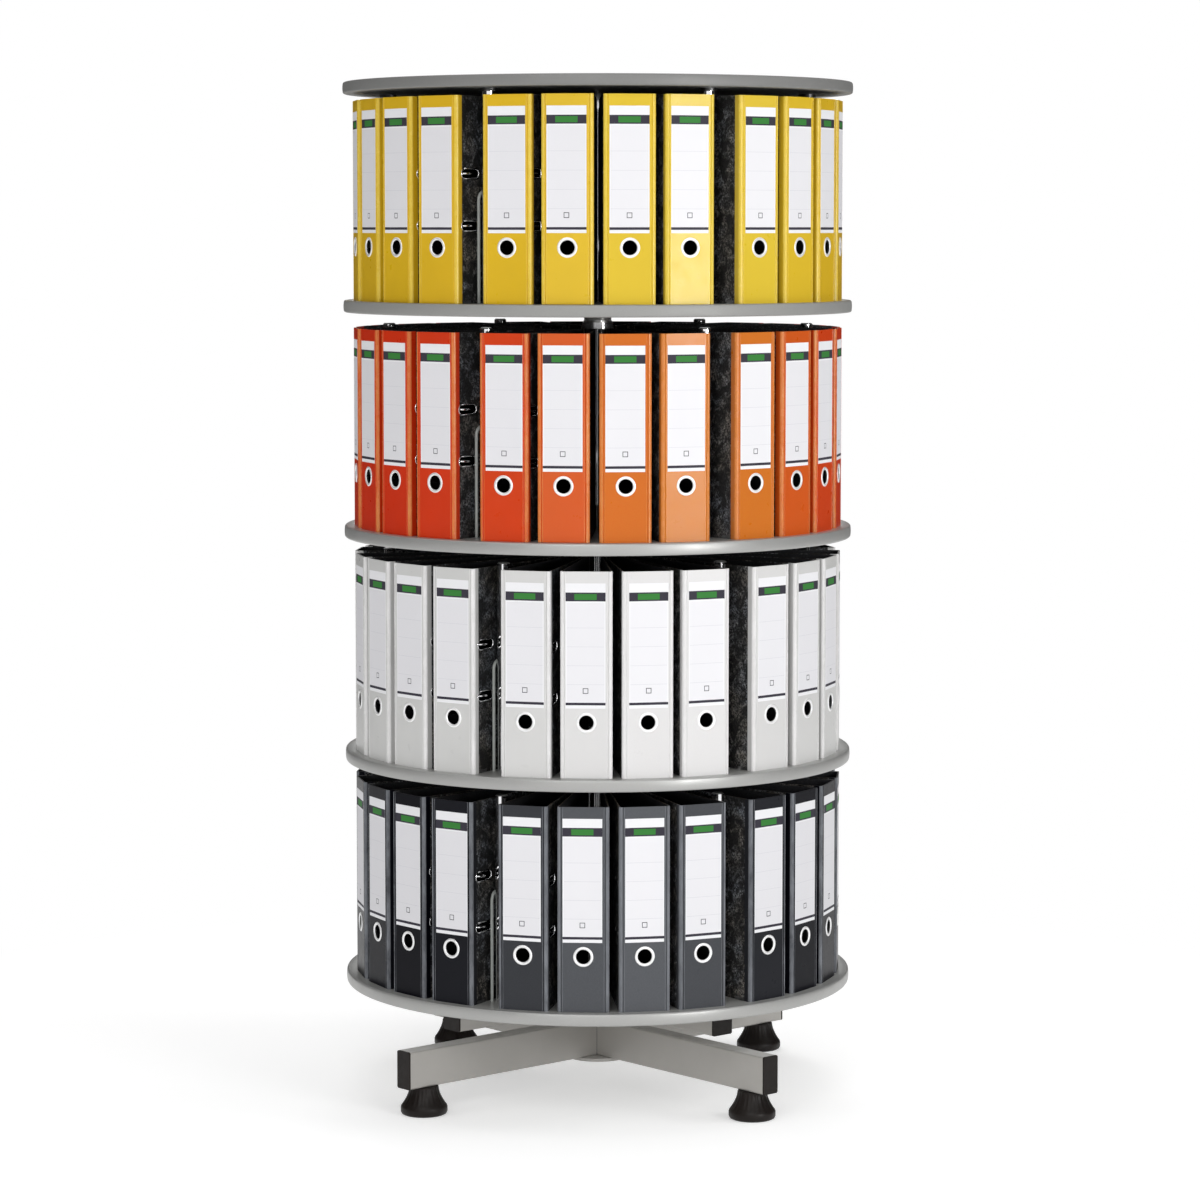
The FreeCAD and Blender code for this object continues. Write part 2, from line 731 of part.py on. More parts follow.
def make_carrier():
    """Four short tubes welded to the lowest hub's ring, screwed to the board, with end caps."""
    tier, wall, corner = TIERS[0], S["beam_wall"], S["beam_corner"]
    width, height, reach = S["carrier_width"], S["carrier_height"], S["carrier_reach"]
    arms = new_body("carrier_arms")
    section = tube_sketch(arms, "YZ_Plane", width, height, CARRIER_FOOT, wall, corner)
    tube = pad(arms, section, reach)
    middle = new_sketch(arms, "XY_Plane")
    draw_circle(middle, 0, 0, S["carrier_ring_radius"])
    end = pocket(arms, middle)
    holes = new_sketch(arms, "XY_Plane", UNDERSIDE)
    for ring in CARRIER_SCREW_RINGS:
        draw_circle(holes, ring, 0, S["carrier_screw_radius"])
    screw_holes = pocket(arms, holes, wall)
    ring_pattern(arms, [tube, end, screw_holes], ARMS)
    place_on_tier(keep("carrier_arms", arms), tier, turn=S["carrier_turn"])

    outer = (width, height, corner)
    inner = (width - wall * 2, height - wall * 2, corner - wall)
    sizes = (S["cap_flange"], S["cap_insert"], outer, inner, CARRIER_FOOT)
    caps = make_end_caps("carrier_end_caps", ARMS, reach, *sizes)
    place_on_tier(caps, tier, turn=S["carrier_turn"])


def make_carrier_screws():
    """Countersunk screws, flush with the lowest shelf's top, down into the arms."""
    head, shank = S["carrier_screw_head"], S["carrier_screw_radius"]
    foot = UNDERSIDE - S["beam_wall"] - S["carrier_screw_reach"]
    outline = [(0, 0), (0, foot), (shank, foot), (shank, shank - head), (head, 0)]
    screws = new_body("carrier_screws")
    sketches = [profile_sketch(screws, [outline], ring) for ring in CARRIER_SCREW_RINGS]
    ring_pattern(screws, [revolve(screws, sketch) for sketch in sketches], ARMS)
    return place_on_tier(keep("carrier_screws", screws), TIERS[0], turn=S["carrier_turn"])


# ---------------------------------------------------------------- posts, dividers and cover


def make_posts(tier):
    """Six posts between the binder groups. The top tier's reach up into the cover."""
    radius, spigot, root = S["post_radius"], S["spigot_radius"], -S["spigot_length"]
    outline = [(0, root), (spigot, root), (spigot, 0), (radius, 0)]
    if tier == TOP_TIER:
        high = COVER_CLEARANCE
        end = high + S["spigot_length"]
        outline += [(radius, high), (spigot, high), (spigot, end), (0, end)]
    else:
        high, crown = S["binder_height"] + S["post_rise"], S["post_crown"]
        outline += [(radius, high - crown), (radius - crown, high), (0, high)]
    place_on_tier(turned_body(f"posts_tier{tier}", [outline], S["post_ring"], GROUPS), tier)


def make_dividers(tier):
    """Wire hoops beside the posts, with both legs let into the board."""
    name = f"wire_dividers_tier{tier}"
    body = new_body(name)
    outer, inner, bend = S["divider_outer"], S["divider_inner"], S["divider_bend"]
    top = S["divider_height"] - S["divider_wire_radius"]
    foot = new_sketch(body, "XY_Plane", -S["divider_root"])
    draw_circle(foot, outer, -DIVIDER_OFFSET, S["divider_wire_radius"])
    route = new_sketch(body, "XZ_Plane", DIVIDER_OFFSET)
    low, shoulder = -S["divider_root"], top - bend
    chain = (
        draw_line(route, (outer, low), (outer, shoulder)),
        draw_arc(route, outer - bend, shoulder, bend, 0, 90),
        draw_line(route, (outer - bend, top), (inner + bend, top)),
        draw_arc(route, inner + bend, shoulder, bend, 90, 180),
        draw_line(route, (inner, shoulder), (inner, low)),
    )
    for first, second in zip(chain, chain[1:]):
        route.addConstraint(Sketcher.Constraint("Tangent", first, 2, second, 1))
    constrain(route, bend, "Radius", chain[1])
    constrain(route, bend, "Radius", chain[3])
    fix_point(route, chain[0], 1, outer, low)
    fix_point(route, chain[4], 2, inner, low)
    fix_point(route, chain[1], 3, outer - bend, shoulder)
    fix_point(route, chain[3], 3, inner + bend, shoulder)
    hoop = add_feature(body, "PartDesign::AdditivePipe", foot)
    hoop.Spine = (route, [])
    ring_pattern(body, [hoop], GROUPS)
    place_on_tier(keep(name, body), tier)


def make_cover():
    """The round cover on the top tier's posts, and the rosettes under it."""
    edge = S["shelf_radius"] - S["cover_thickness"] / 2
    outline = [(0, 0), (edge, 0, edge), (edge, S["cover_thickness"]), (0, S["cover_thickness"])]
    cover = new_body("cover_plate")
    revolve(cover, profile_sketch(cover, [outline]))
    spigot = [(S["post_ring"], 0, S["spigot_radius"])]
    drill(cover, ZERO, spigot, S["spigot_length"], up=True, count=GROUPS)
    place_on_tier(keep("cover_plate", cover), TOP_TIER, above=COVER_CLEARANCE)

    loop = rectangle_loop(S["post_radius"], S["rosette_radius"], -S["rosette_height"], 0)
    rosettes = turned_body("cover_rosettes", [loop], S["post_ring"], GROUPS)
    place_on_tier(rosettes, TOP_TIER, above=COVER_CLEARANCE)


# ---------------------------------------------------------------- binders


def make_binder_boards():
    """The spine and the two covers of one binder, facing the front. The covers lean towards
    each other from the spine to the fore edge."""
    half, tip, board = S["binder_width"] / 2, S["binder_fore_edge"] / 2, S["binder_board"]
    front, back = -S["binder_ring"], -S["binder_ring"] + S["binder_depth"]
    inside = front + board

    spine = new_body("binder_spine")
    plan = new_sketch(spine, "XY_Plane")
    draw_loop(plan, rectangle_loop(-half, half, front, inside))
    pad(spine, plan, S["binder_height"])
    hole = new_sketch(spine, "XZ_Plane")
    draw_circle(hole, 0, S["finger_hole_height"], S["finger_hole_radius"])
    through = pocket(spine, hole)
    through.SideType = "Symmetric"

    covers = []
    for name, side in (("binder_front_cover", 1), ("binder_back_cover", -1)):
        cover = new_body(name)
        plan = new_sketch(cover, "XY_Plane")
        outline = [(half, inside), (tip, back), (tip - board, back), (half - board, inside)]
        draw_loop(plan, [(x * side, y) for x, y in outline])
        pad(cover, plan, S["binder_height"])
        covers.append(cover)
    slots = new_sketch(covers[0], "YZ_Plane")
    near = inside + S["arch_slot_start"] + S["arch_slot_radius"]
    far = inside + S["arch_slot_start"] + S["arch_slot_length"] - S["arch_slot_radius"]
    for level in (-1, 1):
        height = S["binder_height"] / 2 + S["arch_pitch"] * level / 2
        draw_slot(slots, near, far, height, S["arch_slot_radius"])
    pocket(covers[0], slots, along_normal=True)
    return [spine, *covers]


def binder_turn(group, place_in_group):
    middle = (BINDERS_IN_GROUP - 1) / 2
    return group * 360 / GROUPS + (place_in_group - middle) * S["binder_angle"].number


def make_binders(tier, boards):
    """The binders that stand on a shelf, and the one that slides out as an object of its own."""
    standing = []
    for group in range(GROUPS):
        for place_in_group in range(BINDERS_IN_GROUP):
            if (group, place_in_group) == (PULLED_GROUP, PULLED_PLACE):
                continue
            turned = Rotation(Vector(0, 0, 1), binder_turn(group, place_in_group))
            for board in boards:
                copy = board.Shape.copy()
                copy.Placement = Placement(Vector(0, 0, 0), turned).multiply(copy.Placement)
                standing.append(copy)
    group = doc.addObject("Part::Feature", "binders")
    group.Shape = Part.makeCompound(standing)
    place_on_tier(keep(f"binders_tier{tier}", group), tier)

    pulled = doc.addObject("Part::Compound", "pull_out_binder")
    pulled.Links = boards
    turn = binder_turn(PULLED_GROUP, PULLED_PLACE)
    place_on_tier(keep(f"pull_out_binder_tier{tier}", pulled), tier, S["seat_gap"], as_size(turn))


# ---------------------------------------------------------------- the whole cabinet


def check(obj):
    """Stops if an object failed or its shape is not sound."""
    failed = [word for word in obj.State if word in ("Invalid", "Error")]
    if failed:
        raise RuntimeError(f"{obj.Name} {obj.Label}: {failed}")
    if obj.Label in parts and (obj.Shape.isNull() or not obj.Shape.isValid()):
        raise RuntimeError(f"{obj.Label}: unsound shape")


def build():
    make_beams()
    make_beam_caps()
    make_foot_bushes()
    make_feet()
    make_column_foot()
    make_column()
    make_stops()
    boards = make_binder_boards()
    doc.recompute()
    for tier in TIERS:
        make_board(tier)
        make_edge_band(tier)
        make_hub(tier)
        make_bushes(tier)
        if tier != TIERS[0]:
            make_hub_screws(tier)
        make_posts(tier)
        make_dividers(tier)
        make_binders(tier, boards)
    make_carrier()
    make_cover()
    doc.recompute()
    for obj in doc.Objects:
        check(obj)
    for name, obj in parts.items():
        obj.Shape.exportStep(f"parts/{name}.step")


build()
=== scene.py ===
import json
import math
import random

import bmesh
import bpy
from mathutils import Matrix, Vector


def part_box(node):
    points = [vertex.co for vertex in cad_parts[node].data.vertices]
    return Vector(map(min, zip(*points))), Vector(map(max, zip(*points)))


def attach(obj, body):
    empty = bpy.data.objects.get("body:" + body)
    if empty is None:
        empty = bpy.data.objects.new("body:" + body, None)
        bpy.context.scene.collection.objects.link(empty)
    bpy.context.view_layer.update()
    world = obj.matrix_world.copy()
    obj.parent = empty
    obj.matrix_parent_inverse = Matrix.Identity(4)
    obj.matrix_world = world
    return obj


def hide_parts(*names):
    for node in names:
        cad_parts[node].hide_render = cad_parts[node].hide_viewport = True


# A rotary filing cabinet. The CAD model gives every piece its size and place, and the column, hubs,
# posts, dividers and screws their shape. This script gives all of them their finishes. It builds
# the binders and welds in detail, turns the shelves, cover and bell feet more finely and rounds the
# foot's tubes.

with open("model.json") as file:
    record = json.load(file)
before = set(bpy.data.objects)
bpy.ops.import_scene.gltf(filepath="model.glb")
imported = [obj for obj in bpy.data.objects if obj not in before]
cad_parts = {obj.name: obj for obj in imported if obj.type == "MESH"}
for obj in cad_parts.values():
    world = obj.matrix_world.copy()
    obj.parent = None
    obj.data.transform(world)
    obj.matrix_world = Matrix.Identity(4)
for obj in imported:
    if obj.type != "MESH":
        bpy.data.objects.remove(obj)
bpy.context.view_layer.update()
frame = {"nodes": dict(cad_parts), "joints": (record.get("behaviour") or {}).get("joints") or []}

MM = 0.001
TIERS = {1: "black", 2: "grey", 3: "red", 4: "yellow"}  # from the lowest shelf up
GROUPS = 6
BINDERS_IN_GROUP = 4
BINDER_ANGLE = 13.9  # between neighbours in a group, in degrees
PULLED = (0, 1)  # the group and place of the binder that slides out
DICE = random.Random(7)
SHEEN_TOWARDS = {1: 8, 2: 18, 3: 24, 4: 25}  # degrees: the binders of a tier that face this way get the most painted sheen, a paler colour
SHEEN_SPREAD = {1: 26, 2: 30, 3: 30, 4: 30}  # degrees to either side
TONE_BY_CHANCE = 0.05  # the share of a binder's paler colour that is random tone, not painted sheen
LABEL_SLIP = 1.5  # how far a card sits off the spine's middle at most, in millimetres

# One binder, in millimetres, standing at z = 0 with its spine towards -Y.
HEIGHT = 318
SPINE_FACE = -392
BOARD = 2.4
SPINE_INSIDE = SPINE_FACE + BOARD
HALF_WIDTH = 40
FORE_EDGE = Vector((12, -107))
HOLE_HEIGHT = 86
HOLE_RADIUS = 11.5
SLOT_HEIGHTS = (119, 199)
SLOT_START = 11  # from the spine's corner along the cover
SLOT_LENGTH = 45
SLOT_RADIUS = 7
WRAP = 11.5  # of the spine's paper on a cover
MARBLED_SINK = -0.25  # the marbled paper lies under the spine's paper
LABEL_TOP = 300
LABEL_WIDTH = 61
LABEL_LENGTH = 192

# The rest, in millimetres and degrees.
HUB_RADIUS = 22
FACING = 0.05  # the boards' tops lie this far under the heads of the flush screws
BASE_TURN = -48.5
BEAM_HALF = 15  # half a beam's width
TUBE_CORNER = 2.4  # radius of the beams' edges
WELD_RADIUS = 1.1
WELD_INSET = 0.6  # a weld's end to the beams' edge


# ---------------------------------------------------------------- materials


class Surface:
    """A material with a Principled shader, and short calls for the nodes that feed it."""

    def __init__(self, name, colour, roughness, metallic=0.0, **sockets):
        self.material = bpy.data.materials.new(name)
        self.material.use_nodes = True
        self.nodes = self.material.node_tree.nodes
        self.links = self.material.node_tree.links
        self.shader = self.nodes["Principled BSDF"]
        self.shader.inputs["Base Color"].default_value = (*colour, 1)
        self.shader.inputs["Roughness"].default_value = roughness
        self.shader.inputs["Metallic"].default_value = metallic
        for socket, value in sockets.items():
            self.shader.inputs[socket.replace("_", " ")].default_value = value
        self.place = self.nodes.new("ShaderNodeTexCoord").outputs["Object"]
        self.material.diffuse_color = (*colour, 1)

    def add(self, kind, output, inputs, **settings):
        """A node: its inputs by name or number, each a value or another node's output."""
        node = self.nodes.new("ShaderNode" + kind)
        for key, value in settings.items():
            setattr(node, key, value)
        for key, value in inputs.items():
            if isinstance(value, bpy.types.NodeSocket):
                self.links.new(value, node.inputs[key])
            else:
                node.inputs[key].default_value = value
        return node.outputs[output]

    def noise(self, scale, detail=3.0, rough=0.5, at=None, distortion=0.0):
        inputs = {"Vector": at or self.place, "Scale": scale, "Detail": detail}
        inputs.update({"Roughness": rough, "Distortion": distortion})
        return self.add("TexNoise", "Fac", inputs)

    def stretched(self, x, y, z):
        """The place on the object, scaled along each axis."""
        return self.add("Mapping", "Vector", {"Vector": self.place, "Scale": (x, y, z)})

    def cells(self, scale):
        return self.add("TexVoronoi", "Distance", {"Vector": self.place, "Scale": scale})

    def span(self, value, low, high, to_low=0.0, to_high=1.0):
        """Maps low..high to to_low..to_high, held at the ends."""
        inputs = {"Value": value, "From Min": low, "From Max": high, "To Min": to_low, "To Max": to_high}
        return self.add("MapRange", "Result", inputs)

    def maths(self, operation, a, b=0.0):
        return self.add("Math", 0, {0: a, 1: b}, operation=operation)

    def mix(self, share, a, b):
        """Two colours mixed. A plain colour is three numbers."""
        node = self.nodes.new("ShaderNodeMix")
        node.data_type = "RGBA"
        for index, value in ((0, share), (6, a), (7, b)):
            if isinstance(value, bpy.types.NodeSocket):
                self.links.new(value, node.inputs[index])
            else:
                node.inputs[index].default_value = value if index == 0 else (*value, 1)
        return node.outputs[2]

    def own(self):
        """The number that each binder carries on its faces, from 0 to 1: its share of painted sheen."""
        return self.add("Attribute", "Fac", {}, attribute_name="own")

    def colour(self, output):
        self.links.new(output, self.shader.inputs["Base Color"])
        return self

    def roughness(self, output):
        self.links.new(output, self.shader.inputs["Roughness"])
        return self

    def bump(self, height, strength, distance):
        inputs = {"Height": height, "Strength": strength, "Distance": distance}
        self.links.new(self.add("Bump", "Normal", inputs), self.shader.inputs["Normal"])
        return self


def shades(colour, amount):
    """The same colour a little darker and a little lighter."""
    return [tuple(min(1.0, c * (1 + sign * amount)) for c in colour) for sign in (-1, 1)]


def spine_paper(name, fresh, painted_sheen, specular, fold_highlight_and_scuffs=False):
    """Plastic-faced spine paper with a fine pressed grain and slight handling marks. Each binder's own
    number mixes in a paler colour: painted sheen on the binders that face the light, with a little
    tone at random. Along the folds the paper is painted paler as a highlight, in patches like scuffs,
    and is smoother."""
    s = Surface(name, fresh, 0.30, Specular_IOR_Level=specular)
    dark, light = shades(fresh, 0.05)
    tone = s.mix(s.span(s.noise(9, 3), 0.3, 0.7), dark, light)
    # painted sheen: binders that face the light are mixed towards the paler colour
    tone = s.mix(s.own(), tone, painted_sheen)
    fibre = s.span(s.noise(900, 2, at=s.stretched(1, 1, 0.45)), 0.35, 0.65)
    tone = s.mix(s.maths("MULTIPLY", fibre, 0.10), tone, light)
    # painted highlight along the folds: the fold paper is mixed paler, in patches like scuffs
    if fold_highlight_and_scuffs:
        pale = tuple(0.90 * c + 0.12 * max(c / max(painted_sheen), 0.4) for c in painted_sheen)
        highlight_and_scuff_mask = s.span(s.noise(55, 5, 0.7, s.stretched(1, 1, 0.3)), 0.34, 0.66, 0.35, 1.0)
        tone = s.mix(highlight_and_scuff_mask, tone, pale)
    s.colour(tone)
    smoother = 0.04 if fold_highlight_and_scuffs else 0.0
    worn = s.noise(60, 4, 0.6)
    s.roughness(s.span(worn, 0.3, 0.75, 0.27 - smoother, 0.35 - smoother))
    grain = s.cells(1100)
    s.bump(s.maths("ADD", grain, s.maths("MULTIPLY", fibre, 0.5)), 0.12, 0.0003)
    return s.material


def marbled_paper():
    """Black cloud-marbled cover paper: drifts of grey and brown specks on near black."""
    s = Surface("marbled_paper", (0.03, 0.03, 0.03), 0.6, Specular_IOR_Level=0.3)
    clouds = s.span(s.noise(42, 4, 0.62, distortion=0.8), 0.44, 0.61, 0.08, 1.0)
    specks = s.span(s.noise(300, 4, 0.65, distortion=0.6), 0.44, 0.66)
    flecks = s.span(s.cells(240), 0.05, 0.36, 1.0, 0.0)
    grains = s.maths("ADD", s.maths("MULTIPLY", specks, 0.75), s.maths("MULTIPLY", flecks, 0.45))
    mottle = s.maths("MULTIPLY", grains, clouds)
    warmth = s.span(s.noise(17, 2), 0.38, 0.62)
    pale = s.mix(warmth, (0.37, 0.34, 0.30), (0.33, 0.355, 0.395))
    s.colour(s.mix(mottle, (0.005, 0.005, 0.005), pale))
    s.roughness(s.span(clouds, 0.2, 1.0, 0.66, 0.54))
    s.bump(s.noise(1400, 2), 0.15, 0.0002)
    return s.material


def lining_paper():
    """Black paper on the covers' inside."""
    s = Surface("lining_paper", (0.02, 0.02, 0.022), 0.8, Specular_IOR_Level=0.3)
    s.colour(s.mix(s.span(s.noise(500, 3), 0.35, 0.7), (0.014, 0.014, 0.016), (0.03, 0.03, 0.033)))
    return s.bump(s.noise(1500, 2), 0.2, 0.0002).material


def board_edge():
    """The covers' cut edges: brown-grey board that shows through worn black paper."""
    s = Surface("board_edge", (0.07, 0.06, 0.05), 0.75, Specular_IOR_Level=0.3)
    worn = s.span(s.noise(240, 4, 0.65), 0.40, 0.62)
    s.colour(s.mix(worn, (0.018, 0.016, 0.014), (0.15, 0.12, 0.09)))
    return s.bump(s.noise(1200, 3), 0.2, 0.0002).material


def card(name, colour, painted_sheen=None):
    """Printed card behind a clear pocket: paper fibre under a satin film. Its own number mixes in
    a paler colour, painted sheen on the cards that face the light.
    """
    s = Surface(name, colour, 0.5, Specular_IOR_Level=0.04, Coat_Weight=0.01, Coat_Roughness=0.25)
    dark, light = shades(colour, 0.025)
    tone = s.mix(s.span(s.noise(1300, 3), 0.3, 0.7), dark, light)
    s.colour(s.mix(s.own(), tone, painted_sheen or light))
    return s.bump(s.noise(70, 2), 0.04, 0.001).material


def metal(name, colour, roughness, scratch=0.04, scale=160, metallic=1.0):
    """Plated metal with faint wiping marks."""
    s = Surface(name, colour, roughness, metallic)
    marks = s.noise(scale, 4, 0.65)
    s.roughness(s.span(marks, 0.3, 0.75, max(0.02, roughness - scratch), roughness + scratch))
    dark, light = shades(colour, 0.04)
    s.colour(s.mix(s.span(s.noise(scale / 6, 2), 0.3, 0.7), dark, light))
    return s.bump(marks, 0.03, 0.0002).material


def silver_paint(name, level=1.0):
    """Powder coat with fine metal flakes and orange peel. Faces that look up are paler: painted light
    from above, in patches.
    """
    s = Surface(name, (0.44, 0.42, 0.39), 0.42, 0.35)
    flakes = s.span(s.cells(2600), 0.1, 0.6)
    cloud = s.span(s.noise(7, 3), 0.3, 0.7)
    dark, light, flake = (0.36, 0.345, 0.32), (0.42, 0.405, 0.38), (0.56, 0.55, 0.53)
    base = s.mix(cloud, *[tuple(level * c for c in tone) for tone in (dark, light)])
    upward = s.add("SeparateXYZ", "Z", {0: s.nodes.new("ShaderNodeTexCoord").outputs["Normal"]})
    patches = s.span(s.noise(30, 4, 0.6), 0.25, 0.7, 0.65, 0.95)
    # painted light from above: faces that look up are mixed towards a pale colour, in patches
    painted_top_light = s.maths("MULTIPLY", s.span(upward, 0.6, 1.0), patches)
    flaked = s.mix(s.maths("MULTIPLY", flakes, 0.25), base, flake)
    s.colour(s.mix(painted_top_light, flaked, (0.80, 0.79, 0.77)))
    s.roughness(s.span(s.noise(45, 4), 0.3, 0.7, 0.36, 0.48))
    return s.bump(s.noise(420, 3), 0.10, 0.0006).material


def melamine(name, colour, roughness, metallic=0.1, gloss=0.3):
    """Silver grey melamine facing: a faint pearl mottle under a fine pressed texture."""
    s = Surface(name, colour, roughness, metallic, Coat_Weight=gloss, Coat_Roughness=0.12)
    dark, light = shades(colour, 0.05)
    pearl = s.span(s.noise(750, 3, 0.6), 0.3, 0.7)
    tone = s.mix(pearl, dark, light)
    s.colour(s.mix(s.span(s.noise(5, 2), 0.3, 0.7, 0, 0.5), tone, light))
    s.roughness(s.span(s.noise(30, 4), 0.3, 0.7, roughness - 0.04, roughness + 0.05))
    return s.bump(s.noise(1800, 2), 0.06, 0.0002).material


def moulded(name, colour, roughness, specular=0.5):
    """Moulded plastic with a spark-eroded grain and paler rubbed spots."""
    s = Surface(name, colour, roughness, Specular_IOR_Level=specular)
    dark, light = shades(colour, 0.25)
    s.colour(s.mix(s.span(s.noise(26, 4, 0.6), 0.35, 0.75), dark, light))
    s.roughness(s.span(s.noise(90, 3), 0.3, 0.7, roughness - 0.07, roughness + 0.07))
    return s.bump(s.noise(1100, 3), 0.22, 0.0004).material


SPINES = {  # own colour, paler colour with painted sheen, and how much the face reflects
    "yellow": ((0.64, 0.395, 0.012), (0.67, 0.500, 0.040), 0.31),
    "red": ((0.57, 0.026, 0.004), (0.56, 0.195, 0.018), 0.28),
    "grey": ((0.55, 0.55, 0.54), (0.71, 0.70, 0.70), 0.25),
    "black": ((0.0015, 0.0015, 0.004), (0.105, 0.110, 0.120), 0.07),
}
MATERIALS = {
    **{key: spine_paper(key + "_paper", *look) for key, look in SPINES.items()},
    **{key + "_fold": spine_paper(key + "_fold", *look, True) for key, look in SPINES.items()},
    "marbled": marbled_paper(),
    "lining": lining_paper(),
    "board_edge": board_edge(),
    # a card's second colour is paler: painted sheen on the cards that face the light
    "card_white": card("card_white", (0.78, 0.78, 0.80), (0.83, 0.83, 0.85)),
    "card_field": card("card_field", (0.70, 0.695, 0.72), (0.79, 0.785, 0.81)),
    "card_rule": card("card_rule", (0.58, 0.58, 0.62)),
    "card_band": card("card_band", (0.045, 0.042, 0.055)),
    "card_green": card("card_green", (0.045, 0.20, 0.045)),
    "nickel": metal("nickel", (0.86, 0.86, 0.87), 0.22),
    "satin_nickel": metal("satin_nickel", (0.90, 0.90, 0.90), 0.42, metallic=0.5),
    "chrome": metal("chrome", (0.88, 0.88, 0.89), 0.06, 0.03, 90),
    "zinc": metal("zinc", (0.62, 0.62, 0.60), 0.36, 0.08),
    "dark_steel": metal("dark_steel", (0.12, 0.12, 0.12), 0.40, 0.08),
    "silver_paint": silver_paint("silver_paint"),
    # the welds' paint is darker: painted shade in the corners of the crossing
    "weld": silver_paint("weld_painted_shade", 0.35),
    "cover": melamine("cover_melamine", (0.20, 0.20, 0.195), 0.52, 0.1, 0.0),
    "board": melamine("silver_melamine", (0.38, 0.38, 0.365), 0.34),
    "edge": melamine("silver_edge_band", (0.39, 0.39, 0.38), 0.42, 0.45, 0.05),
    # the top tier's edge band, a darker and matt copy of the edge colour: painted shade
    "edge_painted_shade": melamine("edge_band_painted_shade", (0.285, 0.285, 0.275), 0.52, 0.15, 0.0),
    "black_plastic": moulded("black_plastic", (0.0105, 0.0078, 0.0066), 0.46, 0.22),
    "white_plastic": moulded("white_plastic", (0.80, 0.80, 0.78), 0.40),
    "grey_wire": melamine("grey_wire", (0.36, 0.38, 0.36), 0.35),
}


# ---------------------------------------------------------------- meshes


def to_mesh(name, build, materials):
    """A mesh in metres from a function that fills a bmesh in millimetres."""
    bm = bmesh.new()
    build(bm)
    bmesh.ops.transform(bm, matrix=Matrix.Scale(MM, 4), verts=bm.verts)
    mesh = bpy.data.meshes.new(name)
    bm.to_mesh(mesh)
    bm.free()
    for key in materials:
        mesh.materials.append(MATERIALS[key])
    return mesh


def new_object(name, mesh):
    obj = bpy.data.objects.new(name, mesh)
    bpy.context.scene.collection.objects.link(obj)
    return obj


def smooth(mesh, angle=32, wide=None):
    """Smooth shading, with every fold above the angle crisp. Faces larger than wide, in square
    millimetres, keep their own flat shade."""
    bm = bmesh.new()
    bm.from_mesh(mesh)
    flat = {face for face in bm.faces if wide and face.calc_area() > wide * MM * MM}
    for face in bm.faces:
        face.smooth = True
    for edge in bm.edges:
        limit = 0.2 if flat.intersection(edge.link_faces) else angle
        edge.smooth = edge.calc_face_angle(0) < math.radians(limit)
    bm.to_mesh(mesh)
    bm.free()
    return mesh


def applied(mesh, *modifiers):
    """The mesh as it is after these modifiers, each (type, settings)."""
    obj = new_object("working", mesh)
    for kind, settings in modifiers:
        modifier = obj.modifiers.new(kind.lower(), kind)
        for key, value in settings.items():
            setattr(modifier, key, value)
    shown = obj.evaluated_get(bpy.context.evaluated_depsgraph_get())
    result = bpy.data.meshes.new_from_object(shown)
    bpy.data.objects.remove(obj)
    return result


def bevel(width, segments=2, angle=35):
    settings = {"width": width * MM, "segments": segments, "limit_method": "ANGLE"}
    settings["angle_limit"] = math.radians(angle)
    return ("BEVEL", settings)


def prism(bm, outline, low, high, material):
    """An outline of (x, y) pulled up from low to high."""
    rings = [[bm.verts.new((x, y, z)) for x, y in outline] for z in (low, high)]
    count = len(outline)
    faces = [bm.faces.new(rings[0][::-1]), bm.faces.new(rings[1])]
    for i in range(count):
        j = (i + 1) % count
        faces.append(bm.faces.new((rings[0][i], rings[0][j], rings[1][j], rings[1][i])))
    for face in faces:
        face.material_index = material


def skin(bm, rings, material=0, ends=False, around=False):
    """Faces between rings of points that follow one another: around closes the last on the first."""
    rings = [[bm.verts.new(point) for point in ring] for ring in rings]
    pairs = list(zip(rings, rings[1:]))
    if around:
        pairs.append((rings[-1], rings[0]))
    if ends:
        bm.faces.new(rings[0][::-1]).material_index = material
        bm.faces.new(rings[-1]).material_index = material
    for lower, upper in pairs:
        for i, j in zip(range(len(lower)), [*range(1, len(lower)), 0]):
            bm.faces.new((lower[i], lower[j], upper[j], upper[i])).material_index = material


def lathe(bm, profile, matrix=None, sides=48, material=0):
    """Turns a closed outline of (radius, height) points round Z, then moves it by a matrix."""
    matrix = matrix or Matrix.Identity(4)
    turns = [2 * math.pi * i / sides for i in range(sides)]
    rings = [
        [matrix @ Vector((radius * math.cos(turn), radius * math.sin(turn), height)) for turn in turns]
        for radius, height in profile
    ]
    skin(bm, rings, material, around=True)


def sweep(bm, path, section, material=0, up=Vector((0, 0, 1))):
    """Draws a section, (side, up) points, along a path. up is square to the path's plane."""
    rings = []
    for i, point in enumerate(path):
        along = (path[min(i + 1, len(path) - 1)] - path[max(i - 1, 0)]).normalized()
        side = along.cross(up).normalized()
        rings.append([point + side * a + up * b for a, b in section])
    skin(bm, rings, material, ends=True)


def circle(radius, sides=10):
    """Points round (0, 0)."""
    return [
        (radius * math.cos(2 * math.pi * i / sides), radius * math.sin(2 * math.pi * i / sides))
        for i in range(sides)
    ]


def arc(centre, radius, first, last, steps):
    """Points round a centre from one angle to another, in degrees."""
    points = []
    for i in range(steps + 1):
        turn = math.radians(first + (last - first) * i / steps)
        points.append((centre[0] + radius * math.cos(turn), centre[1] + radius * math.sin(turn)))
    return points


# ---------------------------------------------------------------- one binder

COVER_START = Vector((HALF_WIDTH, SPINE_INSIDE))
ALONG = (FORE_EDGE - COVER_START).normalized()  # the front cover, from the spine to the fore edge
OUTWARD = Vector((-ALONG.y, ALONG.x)) * -1
COVER_LENGTH = (FORE_EDGE - COVER_START).length

